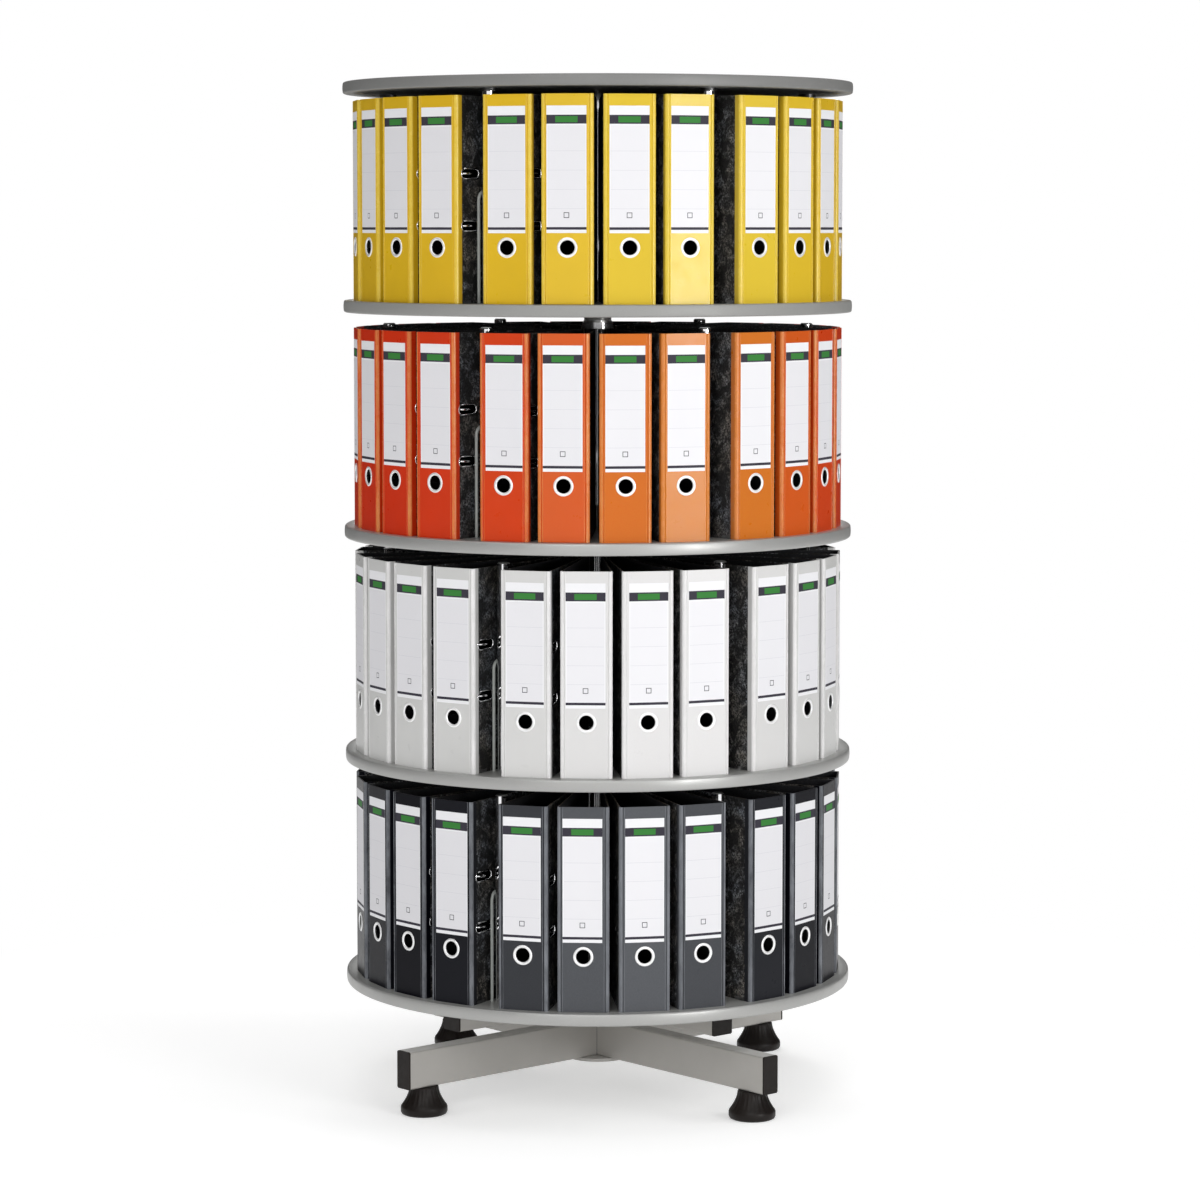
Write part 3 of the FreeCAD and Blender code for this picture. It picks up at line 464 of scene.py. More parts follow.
GROOVE = (32.4, 35.0, 1.1)  # start, end and depth of the crease beside the spine's board
HINGE = (15.5, 18.5, 0.6)  # the same on a cover, from the corner
FOLD_HIGHLIGHT_WIDTH = 0.7  # width of the pale line on the inside of each crease: a painted highlight
BEAD = 4.8  # radius of the corner between spine and cover
PAPER, MARBLED, LINING, STEEL, FOLD, EDGE = range(6)  # materials of a case


def dip(share):
    """The depth of a crease across it, from 0 at its edges to 1 in the middle."""
    return 0.5 - 0.5 * math.cos(2 * math.pi * share)


def on_cover(distance, out=0.0, side=1):
    """A point on a cover: the distance from the spine's corner, and how far outwards."""
    point = COVER_START + ALONG * distance + OUTWARD * out
    return Vector((point.x * side, point.y))


def half_outline():
    """Outer and inner points from the spine's middle to the front cover's fore edge, each with
    the material of the stretch that starts there. The inner points are bunched so that no two
    of them meet."""
    steps = 8
    low, high, depth = GROOVE
    rows = [((0, SPINE_FACE), (0, SPINE_INSIDE), PAPER)]
    # the fold paper, painted paler as a highlight, lies beside the crease and round the spine's corner
    rows.append(((low - FOLD_HIGHLIGHT_WIDTH, SPINE_FACE), (low - FOLD_HIGHLIGHT_WIDTH, SPINE_INSIDE), FOLD))
    for i in range(steps + 1):
        x = low + (high - low) * i / steps
        kind = FOLD if i == steps else PAPER
        rows.append(((x, SPINE_FACE + depth * dip(i / steps)), (x - 0.4, SPINE_INSIDE), kind))
    middle = (HALF_WIDTH - BEAD, SPINE_FACE + BEAD)
    inner_corner = on_cover(0, -BOARD)
    bead = arc(middle, BEAD, -90, 0, steps)[1:]
    for i, point in enumerate(bead):
        kind = PAPER if i == len(bead) - 1 else FOLD
        rows.append((point, (inner_corner.x - 0.3 + 0.05 * i, inner_corner.y), kind))
    stations = [(WRAP, 0), (WRAP + 0.3, MARBLED_SINK)]
    low, high, depth = HINGE
    for i in range(steps + 1):
        stations.append((low + (high - low) * i / steps, MARBLED_SINK - depth * dip(i / steps)))
    stations.append((COVER_LENGTH, MARBLED_SINK))
    for distance, out in stations:
        rows.append((tuple(on_cover(distance, out)), tuple(on_cover(distance, -BOARD)), MARBLED))
    return rows


def fill_case(bm):
    """Both covers and the spine in one folded strip."""
    right = half_outline()
    left = [((-outer[0], outer[1]), (-inner[0], inner[1])) for outer, inner, _ in right[:0:-1]]
    kinds = [kind for _, _, kind in right[:-1]]
    rings = [
        [bm.verts.new((*point, z)) for point in (outer, inner) for z in (0, HEIGHT)]
        for outer, inner in left + [row[:2] for row in right]
    ]
    for a, b, kind in zip(rings, rings[1:], kinds[::-1] + kinds):
        rim = EDGE if kind == MARBLED else PAPER
        for p, q, material in ((0, 1, kind), (1, 3, rim), (3, 2, LINING), (2, 0, rim)):
            bm.faces.new((a[p], b[p], b[q], a[q])).material_index = material
    for ring in (rings[0], rings[-1]):
        bm.faces.new((ring[0], ring[1], ring[3], ring[2])).material_index = EDGE
    bmesh.ops.recalc_face_normals(bm, faces=bm.faces)


def slot_loop(grow):
    """The outline of an arch slot as (distance from the corner, height from its middle)."""
    radius, steps = SLOT_RADIUS + grow, 8
    near, far = SLOT_START + SLOT_RADIUS, SLOT_START + SLOT_LENGTH - SLOT_RADIUS
    return arc((near, 0), radius, 90, 270, steps) + arc((far, 0), radius, -90, 90, steps)


def slot_rings(levels):
    """Rings of points round each slot, one for each (grow, out)."""
    for height in SLOT_HEIGHTS:
        rings = []
        for grow, out in levels:
            places = [(on_cover(distance, out), height + rise) for distance, rise in slot_loop(grow)]
            rings.append([(point.x, point.y, z) for point, z in places])
        yield rings


def fill_cutters(bm):
    """What is cut from the case: the finger hole and the two slots of the front cover."""
    turned = Matrix.Translation((0, SPINE_FACE - 5, HOLE_HEIGHT)) @ Matrix.Rotation(-math.pi / 2, 4, "X")
    lathe(bm, [(0.01, 0), (HOLE_RADIUS, 0), (HOLE_RADIUS, 12), (0.01, 12)], turned, 40, STEEL)
    for rings in slot_rings(((0, -6), (0, 4))):
        skin(bm, rings, STEEL, ends=True)
    bmesh.ops.recalc_face_normals(bm, faces=bm.faces)


def binder_case(colour):
    """The case with its holes cut and its edges slightly rounded."""
    materials = (colour, "marbled", "lining", "dark_steel", colour + "_fold", "board_edge")
    cutters = new_object("cutters", to_mesh("cutters", fill_cutters, materials))
    case = to_mesh("case", fill_case, materials)
    cut = {"object": cutters, "operation": "DIFFERENCE", "solver": "EXACT"}
    case = applied(case, ("BOOLEAN", cut), bevel(0.45))
    bpy.data.objects.remove(cutters)
    return smooth(case, 22, wide=150)


# The card's print, in millimetres down from its top: a band round a coloured bar, a ruled field,
# and a lower band.
HEAD = [(0, 14, "plain"), (14, 16.2, "band"), (16.2, 25.3, "bar"), (25.3, 27.5, "band")]
BAR_BAND_FOOT, FIELD_TOP, FIELD_FOOT, BAND_FOOT = 27.5, 30, 183, 187
RULES = (68, 97, 126, 155)
RULE_WIDTH = 0.45
BAR_HALF = 17.0
FIELD_MARGIN = 1.8
CARD_THICK = 0.25
TICK_BOX = (4.2, 1.0, 165)  # half its size, its line's width, and its middle down from the card's top


def label_cells():
    """The card's rows, each as (start, end, kind) down from its top."""
    rows, top = [*HEAD, (BAR_BAND_FOOT, FIELD_TOP, "plain")], FIELD_TOP
    for line in RULES:
        rows += [(top, line, "field"), (line, line + RULE_WIDTH, "rule")]
        top = line + RULE_WIDTH
    rows += [(top, FIELD_FOOT, "field"), (FIELD_FOOT, BAND_FOOT, "band")]
    return rows + [(BAND_FOOT, LABEL_LENGTH, "plain")]


def fill_label(bm):
    """The card in the spine's pocket, as cells of plain print. Materials: white, field, rule,
    band, bar."""
    white, field, rule, band, bar = range(5)
    half = LABEL_WIDTH / 2
    inside = half - FIELD_MARGIN
    across = {
        "plain": [(-half, half, white)],
        "band": [(-half, half, band)],
        "bar": [(-half, -BAR_HALF, band), (-BAR_HALF, BAR_HALF, bar), (BAR_HALF, half, band)],
        "field": [(-half, -inside, white), (-inside, inside, field), (inside, half, white)],
        "rule": [(-half, -inside, white), (-inside, inside, rule), (inside, half, white)],
    }
    front = SPINE_FACE - CARD_THICK
    for start, end, kind in label_cells():
        for x0, x1, material in across[kind]:
            z0, z1 = LABEL_TOP - end, LABEL_TOP - start
            corners = [(x0, front, z0), (x1, front, z0), (x1, front, z1), (x0, front, z1)]
            bm.faces.new([bm.verts.new(corner) for corner in corners]).material_index = material
    bmesh.ops.remove_doubles(bm, verts=bm.verts, dist=0.001)
    low = LABEL_TOP - LABEL_LENGTH
    edges = [(-half, low), (half, low), (half, LABEL_TOP), (-half, LABEL_TOP)]
    for (xa, za), (xb, zb) in zip(edges, edges[1:] + edges[:1]):
        corners = [(xa, front, za), (xa, SPINE_FACE, za), (xb, SPINE_FACE, zb), (xb, front, zb)]
        bm.faces.new([bm.verts.new(corner) for corner in corners]).material_index = white
    # an empty box to tick, above the lower band
    size, line, down = TICK_BOX
    lift = front - 0.06
    for turn in range(4):
        strip = [(-size, -size), (size, -size), (size - line, -size + line), (-size + line, -size + line)]
        points = []
        for x, z in strip:
            for _ in range(turn):
                x, z = -z, x
            points.append(bm.verts.new((x, lift, LABEL_TOP - down + z)))
        bm.faces.new(points).material_index = band


def fill_eyelet(bm):
    """The rolled ring in the finger hole, with its sleeve through the board."""
    to_front = Matrix.Translation((0, SPINE_FACE, HOLE_HEIGHT)) @ Matrix.Rotation(math.pi / 2, 4, "X")
    inner = HOLE_RADIUS - 0.4
    ring = [(15.6, 0.0), (15.4, 0.5), (14.6, 1.05), (13.4, 1.3), (12.2, 1.0), (HOLE_RADIUS, 0.4)]
    lathe(bm, ring + [(inner, -0.3), (HOLE_RADIUS, -0.3), (HOLE_RADIUS, 0)], to_front)
    sleeve = [(HOLE_RADIUS, -0.35), (inner, -0.35), (inner, -BOARD - 0.6), (12.2, -BOARD - 1.2)]
    sleeve += [(14.0, -BOARD - 0.9), (14.0, -BOARD), (HOLE_RADIUS, -BOARD)]
    lathe(bm, sleeve, to_front, material=1)
    bmesh.ops.recalc_face_normals(bm, faces=bm.faces)


def fill_slot_frames(bm):
    """Pressed oblong frames round the front cover's slots, and the arch that shows in each."""
    section = [(1.9, -0.2), (1.5, 0.45), (0.7, 0.65), (-0.1, 0.4), (-0.5, -0.3), (-0.5, -BOARD)]
    for rings in slot_rings(section):
        skin(bm, rings, around=True)
    near, far = SLOT_START + 2.4, SLOT_START + SLOT_LENGTH - 5
    depth, reach, sink = 34, 3.6, 5.0  # of the arch's root, and past the cover at each end
    for height in SLOT_HEIGHTS:
        path = []
        for share in (i / 20 for i in range(21)):
            rise = math.sin(math.pi * share) ** 0.5
            point = on_cover(near + (far - near) * share, -depth + (depth + reach - sink * share) * rise)
            path.append(Vector((point.x, point.y, height)))
        sweep(bm, path, circle(1.6, 10))
    bmesh.ops.recalc_face_normals(bm, faces=bm.faces)


def fill_fittings(bm):
    """Rivets of the mechanism on the back cover, and the steel edges under both covers."""
    rivet = [(3.6, 0.0), (3.5, 0.5), (2.6, 1.1), (1.2, 1.35), (0.01, 1.4)]
    for height in SLOT_HEIGHTS:
        for distance in (21, 61):
            point = on_cover(distance, -0.3, side=-1)
            turn = math.atan2(OUTWARD.y, -OUTWARD.x)
            to_side = Matrix.Rotation(turn, 4, "Z") @ Matrix.Rotation(math.pi / 2, 4, "Y")
            matrix = Matrix.Translation((point.x, point.y, height)) @ to_side
            lathe(bm, [*rivet, (0.01, -0.3), (3.6, -0.3)], matrix, 16, 1)
    start, end, rise, sheet = 14, 34, 5.0, 0.35
    flanges = [(-sheet, sheet, 0.02, rise), (-BOARD - sheet, -BOARD + sheet, 0.02, rise)]
    web = (-BOARD - sheet, sheet, 0.0, sheet)
    for side in (-1, 1):
        for inner, outer, low, high in [*flanges, web]:
            ends = [on_cover(start, inner, side), on_cover(end, inner, side)]
            ends += [on_cover(end, outer, side), on_cover(start, outer, side)]
            prism(bm, [tuple(p) for p in ends], low, high, 1)
    bmesh.ops.recalc_face_normals(bm, faces=bm.faces)


def fill_mechanism(bm):
    """The lever arch mechanism on the inside of the back cover: plate, prongs, lever and grip."""
    steel, grip = 0, 1
    across = Vector((0.995, 0.099, 0))  # square to the back cover

    def spot(distance, depth, z):
        point = on_cover(distance, -BOARD - depth, side=-1)
        return Vector((point.x, point.y, z))

    def plate(near, far, low, high, bottom, top, material):
        corners = [spot(near, bottom, 0), spot(far, bottom, 0), spot(far, top, 0), spot(near, top, 0)]
        prism(bm, [(c.x, c.y) for c in corners], low, high, material)

    plate(10, 66, 84, 234, 0.1, 1.3, steel)
    plate(16, 60, 104, 214, 1.3, 3.4, steel)
    plate(22, 30, 108, 210, 3.4, 6.2, steel)
    for height in SLOT_HEIGHTS:
        for distance in (13.5, 49.5):
            path = [spot(distance, 3.0 + (27.0 * i / 6), height) for i in range(7)]
            sweep(bm, path, circle(2.1, 10), steel)
    lever = [(36, 8, 118), (37, 13, 140), (40, 15, 175), (44, 14, 214), (47, 11, 246)]
    path = [spot(*p) for p in lever]
    sweep(bm, path, [(-0.8, -4.5), (0.8, -4.5), (0.8, 4.5), (-0.8, 4.5)], steel, up=across)
    path = [spot(47, 11, 244), spot(48.5, 9.5, 262), spot(49, 9, 270)]
    sweep(bm, path, [(-2.2, -6), (2.2, -6), (2.2, 6), (-2.2, 6)], grip, up=across)
    bmesh.ops.recalc_face_normals(bm, faces=bm.faces)


CARDS = ("card_white", "card_field", "card_rule", "card_band", "card_green")


def binder_parts(colour):
    """The meshes of one binder, by kind of piece."""
    frames = to_mesh("slot_frames", fill_slot_frames, ("chrome",))
    eyelet = to_mesh("eyelet", fill_eyelet, ("satin_nickel", "dark_steel"))
    fittings = to_mesh("fittings", fill_fittings, ("nickel", "dark_steel"))
    mechanism = to_mesh("mechanism", fill_mechanism, ("zinc", "black_plastic"))
    return {
        "cases": binder_case(colour),
        "labels": to_mesh("label", fill_label, CARDS),
        "finger_rings": smooth(eyelet, 50),
        "arch_slots": smooth(frames, 50),
        "rivets_and_edges": smooth(fittings, 40),
        "lever_mechanisms": smooth(applied(mechanism, bevel(0.4, 1)), 40),
    }


def tier_turn(tier):
    """How far a tier is turned at rest, from the way its binder slides out."""
    joint = next(j for j in frame["joints"] if j["name"] == f"binder{tier}_pull")
    slides = math.degrees(math.atan2(joint["axis"][0], -joint["axis"][1]))
    return slides - binder_turn(*PULLED)


def binder_turn(group, place_in_group):
    """How far a binder is turned from the front on its tier, in degrees."""
    middle = (BINDERS_IN_GROUP - 1) / 2
    return group * 360 / GROUPS + (place_in_group - middle) * BINDER_ANGLE


def painted_sheen(tier, angle):
    """How much painted sheen a binder that faces this way at rest gets, from 0 to 1, with a little
    tone at random.
    """
    off = (angle - SHEEN_TOWARDS[tier] + 180) % 360 - 180
    by_light = math.exp(-((off / SHEEN_SPREAD[tier]) ** 2))
    return (1 - TONE_BY_CHANCE) * by_light + TONE_BY_CHANCE * DICE.random()


def copies(name, mesh, placings):
    """One object of copies of a mesh, each at a (matrix, own number)."""
    bm = bmesh.new()
    own = bm.faces.layers.float.new("own")
    for matrix, number in placings:
        old_verts, old_faces = len(bm.verts), len(bm.faces)
        bm.from_mesh(mesh)
        bm.verts.ensure_lookup_table()
        bm.faces.ensure_lookup_table()
        bmesh.ops.transform(bm, matrix=matrix, verts=bm.verts[old_verts:])
        for face in bm.faces[old_faces:]:
            face[own] = number
    joined = bpy.data.meshes.new(name)
    bm.to_mesh(joined)
    bm.free()
    for material in mesh.materials:
        joined.materials.append(material)
    return new_object(name, joined)


def add_binders():
    """Twenty-four binders on each tier, of which one rides on the body that slides out."""
    for tier, colour in TIERS.items():
        parts = binder_parts(colour)
        standing, pulled = f"binders_tier{tier}", f"pull_out_binder_tier{tier}"
        turn = tier_turn(tier)
        placings = {}
        for group in range(GROUPS):
            for place_in_group in range(BINDERS_IN_GROUP):
                angle = turn + binder_turn(group, place_in_group)
                # the own number: how much painted sheen this binder gets, by the way it faces
                number, slip = painted_sheen(tier, angle), DICE.uniform(-LABEL_SLIP, LABEL_SLIP)
                is_pulled = (group, place_in_group) == PULLED
                node = pulled if is_pulled else standing
                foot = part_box(node)[0].z
                turned = Matrix.Rotation(math.radians(angle), 4, "Z")
                matrix = Matrix.Translation((0, 0, foot)) @ turned
                key = pulled if is_pulled else group
                placings.setdefault(key, []).append((matrix, number, slip))
        for kind, mesh in parts.items():
            for key, rows in placings.items():
                if kind in ("cases", "labels") or key == pulled:
                    add_copies(kind, mesh, tier, key, rows, pulled)
            if kind not in ("cases", "labels"):
                rows = [row for key, rows in placings.items() if key != pulled for row in rows]
                add_copies(kind, mesh, tier, None, rows, pulled)


def add_copies(kind, mesh, tier, key, rows, pulled):
    """One kind of piece on a group of binders, on a whole tier, or on the pull-out binder."""
    slides = 1 if kind == "labels" else 0
    placings = [(m @ Matrix.Translation((slip * slides * MM, 0, 0)), number) for m, number, slip in rows]
    where = f"_group{key + 1}" if isinstance(key, int) else ("_pull_out" if key else "")
    obj = copies(f"binder_{kind}_tier{tier}{where}", mesh, placings)
    if key == pulled:
        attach(obj, f"binder{tier}")
    else:
        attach(obj, f"tier{tier}")
    if kind == "cases":
        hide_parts(pulled if key == pulled else f"binders_tier{tier}")


# ---------------------------------------------------------------- shelves and cover


def rounded_edge(radius, low, high):
    """A disc's rim from its underside to its top: a gently curved face between two corners."""
    corner, slope = 3.0, 9  # millimetres and degrees
    middle, half = (high + low) / 2, (high - low) / 2
    lean = math.radians(slope)
    face = (half - corner) / math.sin(lean) + corner
    inset = radius - face + (face - corner) * math.cos(lean)
    rim = arc((inset, middle - half + corner), corner, -90, -slope, 6)
    rim += arc((radius - face, middle), face, -slope, slope, 8)[1:]
    return rim + arc((inset, middle + half - corner), corner, slope, 90, 6)[1:]


def add_turned(name, node, body, profile, material):
    """A turned piece in place of a CAD node."""
    mesh = to_mesh(name, lambda bm: lathe(bm, profile, sides=256), (material,))
    obj = new_object(name, smooth(mesh, 30))
    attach(obj, body)
    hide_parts(node)


def extent(node):
    """A round node's outer radius and its lowest and highest levels, in millimetres."""
    low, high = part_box(node)
    return high.x / MM, low.z / MM, high.z / MM


def add_shelves():
    """The boards and their edge bands, and the cover, turned finely enough for a clean gloss."""
    for tier in TIERS:
        band, body = f"edge_band_tier{tier}", f"tier{tier}"
        radius, low, high = extent(band)
        joint = radius - (high - low) / 2
        # the top tier's edge band is painted darker than the others: painted shade
        finish = "edge_painted_shade" if tier == max(TIERS) else "edge"
        edge = [(joint, low), *rounded_edge(radius, low, high), (joint, high)]
        add_turned(f"shelf_edge_tier{tier}", band, body, edge, finish)
        board = [(HUB_RADIUS, low), (joint, low), (joint, high - FACING), (HUB_RADIUS, high - FACING)]
        add_turned(f"shelf_tier{tier}", f"shelf_board_tier{tier}", body, board, "board")
    radius, low, high = extent("cover_plate")
    cover = [(0.01, low), *rounded_edge(radius, low, high), (0.01, high)]
    add_turned("cover_disc", "cover_plate", f"tier{max(TIERS)}", cover, "cover")


# ---------------------------------------------------------------- cross foot


def fill_welds(bm, low, high):
    """Rippled weld beads in the four corners of the crossing, from low to high."""
    turn = math.radians(BASE_TURN)
    steps = 40
    for corner in range(4):
        angle = turn + math.radians(45 + 90 * corner)
        foot = Vector((math.cos(angle), math.sin(angle), 0)) * BEAM_HALF * math.sqrt(2)
        rings = []
        for i in range(steps + 1):
            ripple = 1 + 0.16 * math.sin(i * 2.1 + corner) + DICE.uniform(-0.08, 0.08)
            radius = WELD_RADIUS * ripple * (0.35 if i in (0, steps) else 1)
            z = low + (high - low) * i / steps
            rings.append([foot + Vector((x, y, z)) for x, y in circle(radius, 12)])
        skin(bm, rings, ends=True)


def add_beams():
    """The foot's tubes, with the corners of a drawn steel tube."""
    for node in ("base_long_beam", "base_half_arms"):
        source = frame["nodes"][node]
        mesh = source.data.copy()
        mesh.transform(source.matrix_world)
        plain_faces = ("DECIMATE", {"decimate_type": "DISSOLVE", "angle_limit": 0.01})
        mesh = applied(mesh, plain_faces, bevel(TUBE_CORNER, 5, 60))
        mesh.materials.clear()
        mesh.materials.append(MATERIALS["silver_paint"])
        obj = new_object(node.replace("base", "drawn"), smooth(mesh, 32, wide=400))
        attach(obj, "base")
        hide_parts(node)


def add_welds():
    """The welds, a little shorter than the beams are high."""
    low, high = (corner.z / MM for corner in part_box("base_long_beam"))
    mesh = to_mesh("welds", lambda bm: fill_welds(bm, low + WELD_INSET, high - WELD_INSET), ("weld",))
    obj = new_object("crossing_welds", smooth(mesh, 60))
    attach(obj, "base")


def bell_profile(low, high):
    """The bell's outline: a flat foot, an upright rim and a hollow flare up to the neck."""
    rim, neck, flare_start, flare_end = 37.0, 23.0, 14.0, 44.0
    profile = [(0.01, 0), (32.5, 0), (35.4, 1.4), (rim, 4.6)]
    profile += [(rim, flare_start - 2.5), (rim - 0.8, flare_start)]
    steps = 10
    for i in range(1, steps + 1):
        share = i / steps
        flare = (rim - 0.8 - neck) * (1 - share) ** 1.7
        profile.append((neck + flare, flare_start + (flare_end - flare_start) * share))
    top = (high - low) / MM
    return profile + [(neck, top - 0.8), (neck - 0.8, top), (6, top)]


def fill_bell(bm, profile, sides=144, flutes=24, depth=0.6):
    """A turned bell with shallow upright flutes above its rim."""
    rings = []
    for radius, height in profile:
        fluted = depth * min(1.0, max(0.0, (height - 15) / 5)) if radius > 22 else 0.0
        ring = []
        for i in range(sides):
            turn = 2 * math.pi * i / sides
            r = radius - fluted * (0.5 - 0.5 * math.cos(flutes * turn))
            ring.append((r * math.cos(turn), r * math.sin(turn), height))
        rings.append(ring)
    skin(bm, rings, ends=True)


def add_bells():
    """The four bell feet, each at its CAD node's place."""
    for corner in ("front_right", "rear_right", "rear_left", "front_left"):
        node = "foot_bell_" + corner
        low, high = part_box(node)
        profile = bell_profile(low.z, high.z)
        mesh = to_mesh(node, lambda bm: fill_bell(bm, profile), ("black_plastic",))
        middle = (low + high) / 2
        mesh.transform(Matrix.Translation((middle.x, middle.y, low.z)))
        obj = new_object("bell_glide_" + corner, smooth(mesh, 50))
        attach(obj, "foot_" + corner)
        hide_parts(node)


# ---------------------------------------------------------------- CAD nodes' finishes

FINISHES = {
    "base_long_beam": "silver_paint",
    "base_half_arms": "silver_paint",
    "base_hub_plate": "silver_paint",
    "column_socket": "silver_paint",
    "carrier_arms": "silver_paint",
    "hub_tier": "silver_paint",
    "beam_end_caps": "black_plastic",
    "carrier_end_caps": "black_plastic",
    "foot_bushes": "zinc",
    "foot_stem_": "zinc",
    "column_plug": "zinc",
    "column_bolt": "zinc",
    "thrust_washers": "zinc",
    "stop_collars": "nickel",
    "collar_screws": "dark_steel",
    "carrier_screws": "zinc",
    "hub_screws_tier": "zinc",
    "column_tube": "chrome",
    "posts_tier": "chrome",
    "cover_rosettes": "dark_steel",
    "hub_bushes_tier": "white_plastic",
    "wire_dividers_tier": "grey_wire",
}


def finish_nodes():
    """Gives each CAD node the finish whose entry its name starts with."""
    for name, obj in frame["nodes"].items():
        for start, key in FINISHES.items():
            if name.startswith(start):
                obj.data.materials.clear()
                obj.data.materials.append(MATERIALS[key])


# ---------------------------------------------------------------- stage, light and camera

CAMERA_DISTANCE = 6.236  # metres from the column, and the height over the floor
CAMERA_HEIGHT = 1.396
CAMERA_PITCH = 4.65  # degrees below level
CAMERA_LENS = 115.6  # millimetres
CAMERA_SHIFT = (0.0019, -0.05)
AMBIENT = 0.30
LAMPS_AIM = Vector((0, 0, 0.85))  # close to the cabinet's middle
FLOOR_RADIUS = 30  # metres, as the walls' sizes are
FLOOR_GLOW = 0.42  # what lifts the lit floor to white
WALL_RADIUS, WALL_HEIGHT = 5.2, 6.0
WALL_SPAN = (30, 172)  # degrees from the front, at either side
FLOOR_FADE = (0.8, 1.6)  # metres from the column, from the lit floor to the backdrop


def add_camera():
    """A camera in front of the cabinet, above its middle and tilted down."""
    camera = bpy.data.cameras.new("camera")
    camera.lens = CAMERA_LENS
    camera.shift_x, camera.shift_y = CAMERA_SHIFT
    obj = bpy.data.objects.new("camera", camera)
    bpy.context.scene.collection.objects.link(obj)
    obj.location = (0, -CAMERA_DISTANCE, CAMERA_HEIGHT)
    obj.rotation_euler = (math.radians(90 - CAMERA_PITCH), 0, 0)
    bpy.context.scene.camera = obj


def seen_rays(tree):
    """1 for the rays that show the background itself: from the camera, mirrors and glass."""
    path = tree.nodes.new("ShaderNodeLightPath")
    seen = path.outputs["Is Camera Ray"]
    for kind in ("Is Glossy Ray", "Is Transmission Ray"):
        either = tree.nodes.new("ShaderNodeMath")
        either.operation = "MAXIMUM"
        tree.links.new(seen, either.inputs[0])
        tree.links.new(path.outputs[kind], either.inputs[1])
        seen = either.outputs[0]
    return seen


def add_world():
    """Even light from all round, behind a white backdrop."""
    world = bpy.data.worlds.new("studio")
    bpy.context.scene.world = world
    world.use_nodes = True
    nodes, links = world.node_tree.nodes, world.node_tree.links
    lit = nodes["Background"]
    backdrop = nodes.new("ShaderNodeBackground")
    for background, strength in ((lit, AMBIENT), (backdrop, 1.0)):
        background.inputs["Color"].default_value = (1, 1, 1, 1)
        background.inputs["Strength"].default_value = strength
    mix = nodes.new("ShaderNodeMixShader")
    links.new(seen_rays(world.node_tree), mix.inputs[0])
    links.new(lit.outputs[0], mix.inputs[1])
    links.new(backdrop.outputs[0], mix.inputs[2])
    links.new(mix.outputs[0], nodes["World Output"].inputs["Surface"])


def add_floor():
    """A pale floor that takes the foot's shadow and turns into the white backdrop further out."""
    bm = bmesh.new()
    bmesh.ops.create_circle(bm, cap_ends=True, segments=96, radius=FLOOR_RADIUS)
    mesh = bpy.data.meshes.new("floor")
    bm.to_mesh(mesh)
    bm.free()
    floor = new_object("floor", mesh)
    s = Surface("floor", (0.80, 0.80, 0.80), 0.9, Specular_IOR_Level=0.0)
    seen = seen_rays(s.material.node_tree)
    glow = s.add("Emission", 0, {"Strength": s.maths("MULTIPLY", seen, FLOOR_GLOW)})
    near = s.add("AddShader", 0, {0: s.shader.outputs[0], 1: glow})
    white = s.add("Emission", 0, {"Strength": 1.0})
    distance = s.add("VectorMath", "Value", {0: s.place}, operation="LENGTH")
    far = s.maths("MULTIPLY", s.span(distance, *FLOOR_FADE), seen)
    mixed = s.add("MixShader", 0, {0: far, 1: near, 2: white})
    s.links.new(mixed, s.nodes["Material Output"].inputs["Surface"])
    mesh.materials.append(s.material)


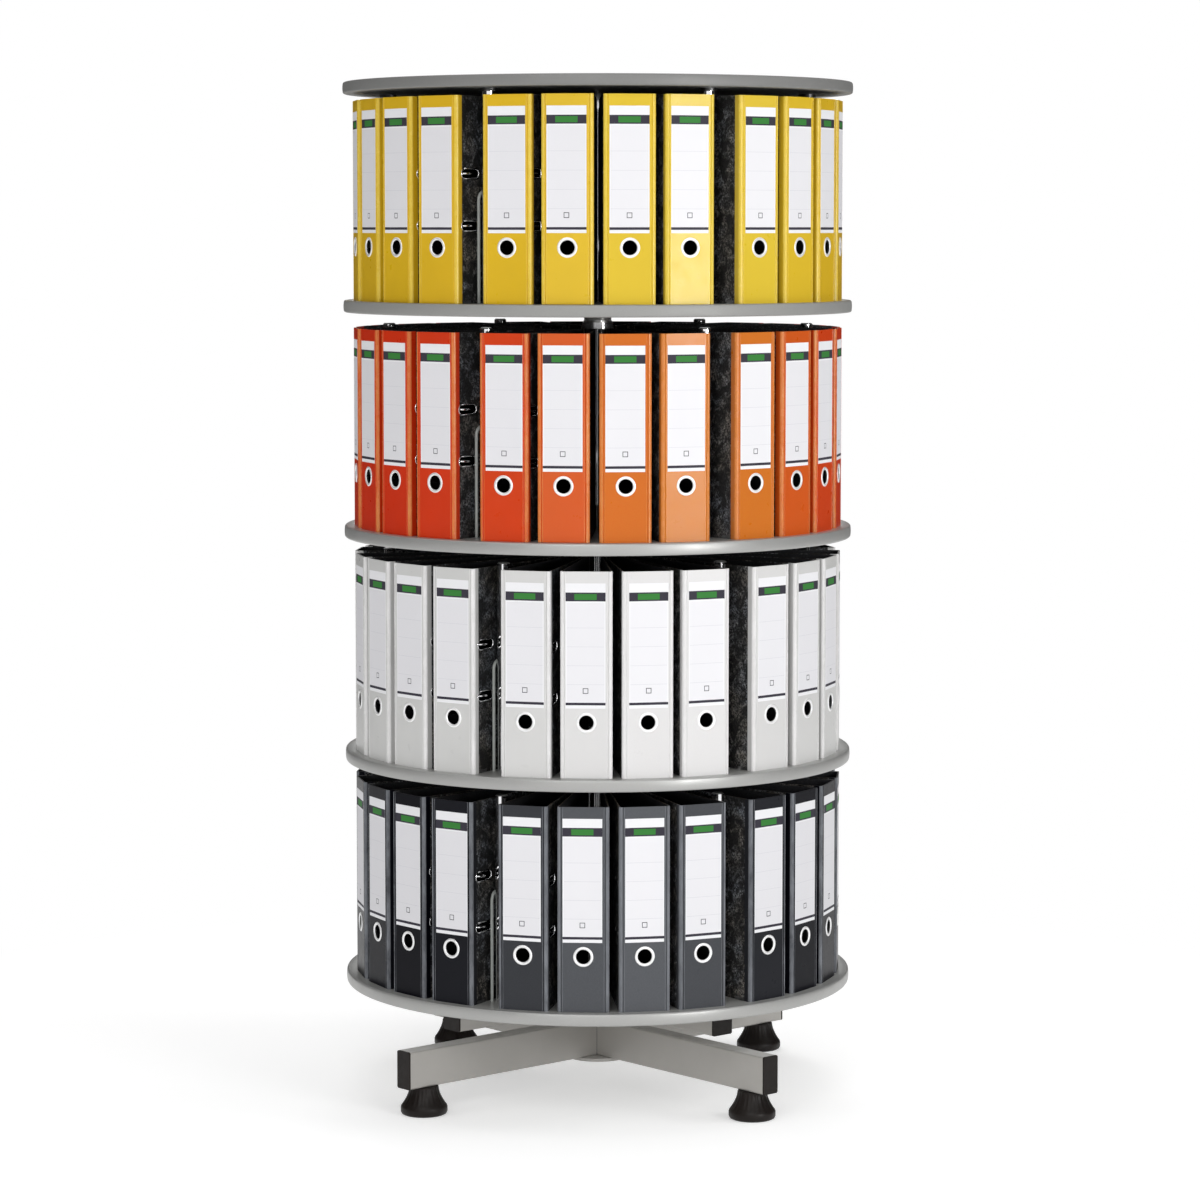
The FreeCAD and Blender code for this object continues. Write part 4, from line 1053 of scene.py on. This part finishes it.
def add_dark_walls():
    """Dark studio walls at both sides, seen only in the gloss of the metal and the papers."""
    bm = bmesh.new()
    curve = arc((0, 0), WALL_RADIUS, WALL_SPAN[0] - 90, WALL_SPAN[1] - 90, 40)
    for side in (-1, 1):
        rows = [[bm.verts.new((side * x, y, z)) for z in (0, WALL_HEIGHT)] for x, y in curve]
        for a, b in zip(rows, rows[1:]):
            bm.faces.new((a[0], b[0], b[1], a[1]))
    mesh = bpy.data.meshes.new("dark_walls")
    bm.to_mesh(mesh)
    bm.free()
    walls = new_object("dark_walls", mesh)
    paint = Surface("dark_wall", (0.03, 0.03, 0.03), 0.9, Specular_IOR_Level=0.0)
    mesh.materials.append(paint.material)
    walls.visible_camera = False
    walls.visible_diffuse = False
    walls.visible_transmission = False
    walls.visible_shadow = False


def add_lamp(name, place, size, power, seen_in="both"):
    """A soft box that faces the cabinet's middle. It can light only the matt or only the glossy
    share of a surface."""
    lamp = bpy.data.lights.new(name, "AREA")
    lamp.shape = "RECTANGLE"
    lamp.size, lamp.size_y = size
    lamp.energy = power
    obj = bpy.data.objects.new(name, lamp)
    bpy.context.scene.collection.objects.link(obj)
    obj.visible_diffuse = seen_in != "gloss"
    obj.visible_glossy = seen_in != "matt"
    obj.location = place
    obj.rotation_euler = (LAMPS_AIM - Vector(place)).to_track_quat("-Z", "Y").to_euler()


LAMPS = {  # place and size in metres, power in watts, and the share it lights where that isn't both
    "front": ((-0.8, -4.2, 3.2), (2.4, 1.2), 38),
    "front_fill": ((-0.9, -4.4, 0.6), (2.4, 1.0), 46, "matt"),
    "right": ((2.9, -3.4, 1.6), (1.6, 1.2), 54, "matt"),
    "right_gloss": ((3.35, -3.7, 1.2), (0.7, 1.2), 80, "gloss"),
    "left_side": ((-3.9, -2.2, 1.0), (2.0, 1.4), 30, "matt"),
    "right_side": ((4.1, -0.8, 2.6), (2.0, 1.6), 50, "matt"),
    "top": ((0, 0.4, 4.6), (3.0, 3.0), 36),
    "rear": ((-0.5, 4.5, 2.4), (2.6, 1.2), 75, "matt"),
}


add_camera()
add_world()
add_floor()
add_dark_walls()
for lamp_name, lamp_settings in LAMPS.items():
    add_lamp(lamp_name, *lamp_settings)
finish_nodes()
add_shelves()
add_binders()
add_beams()
add_welds()
add_bells()
bpy.context.scene.view_settings.view_transform = "Standard"
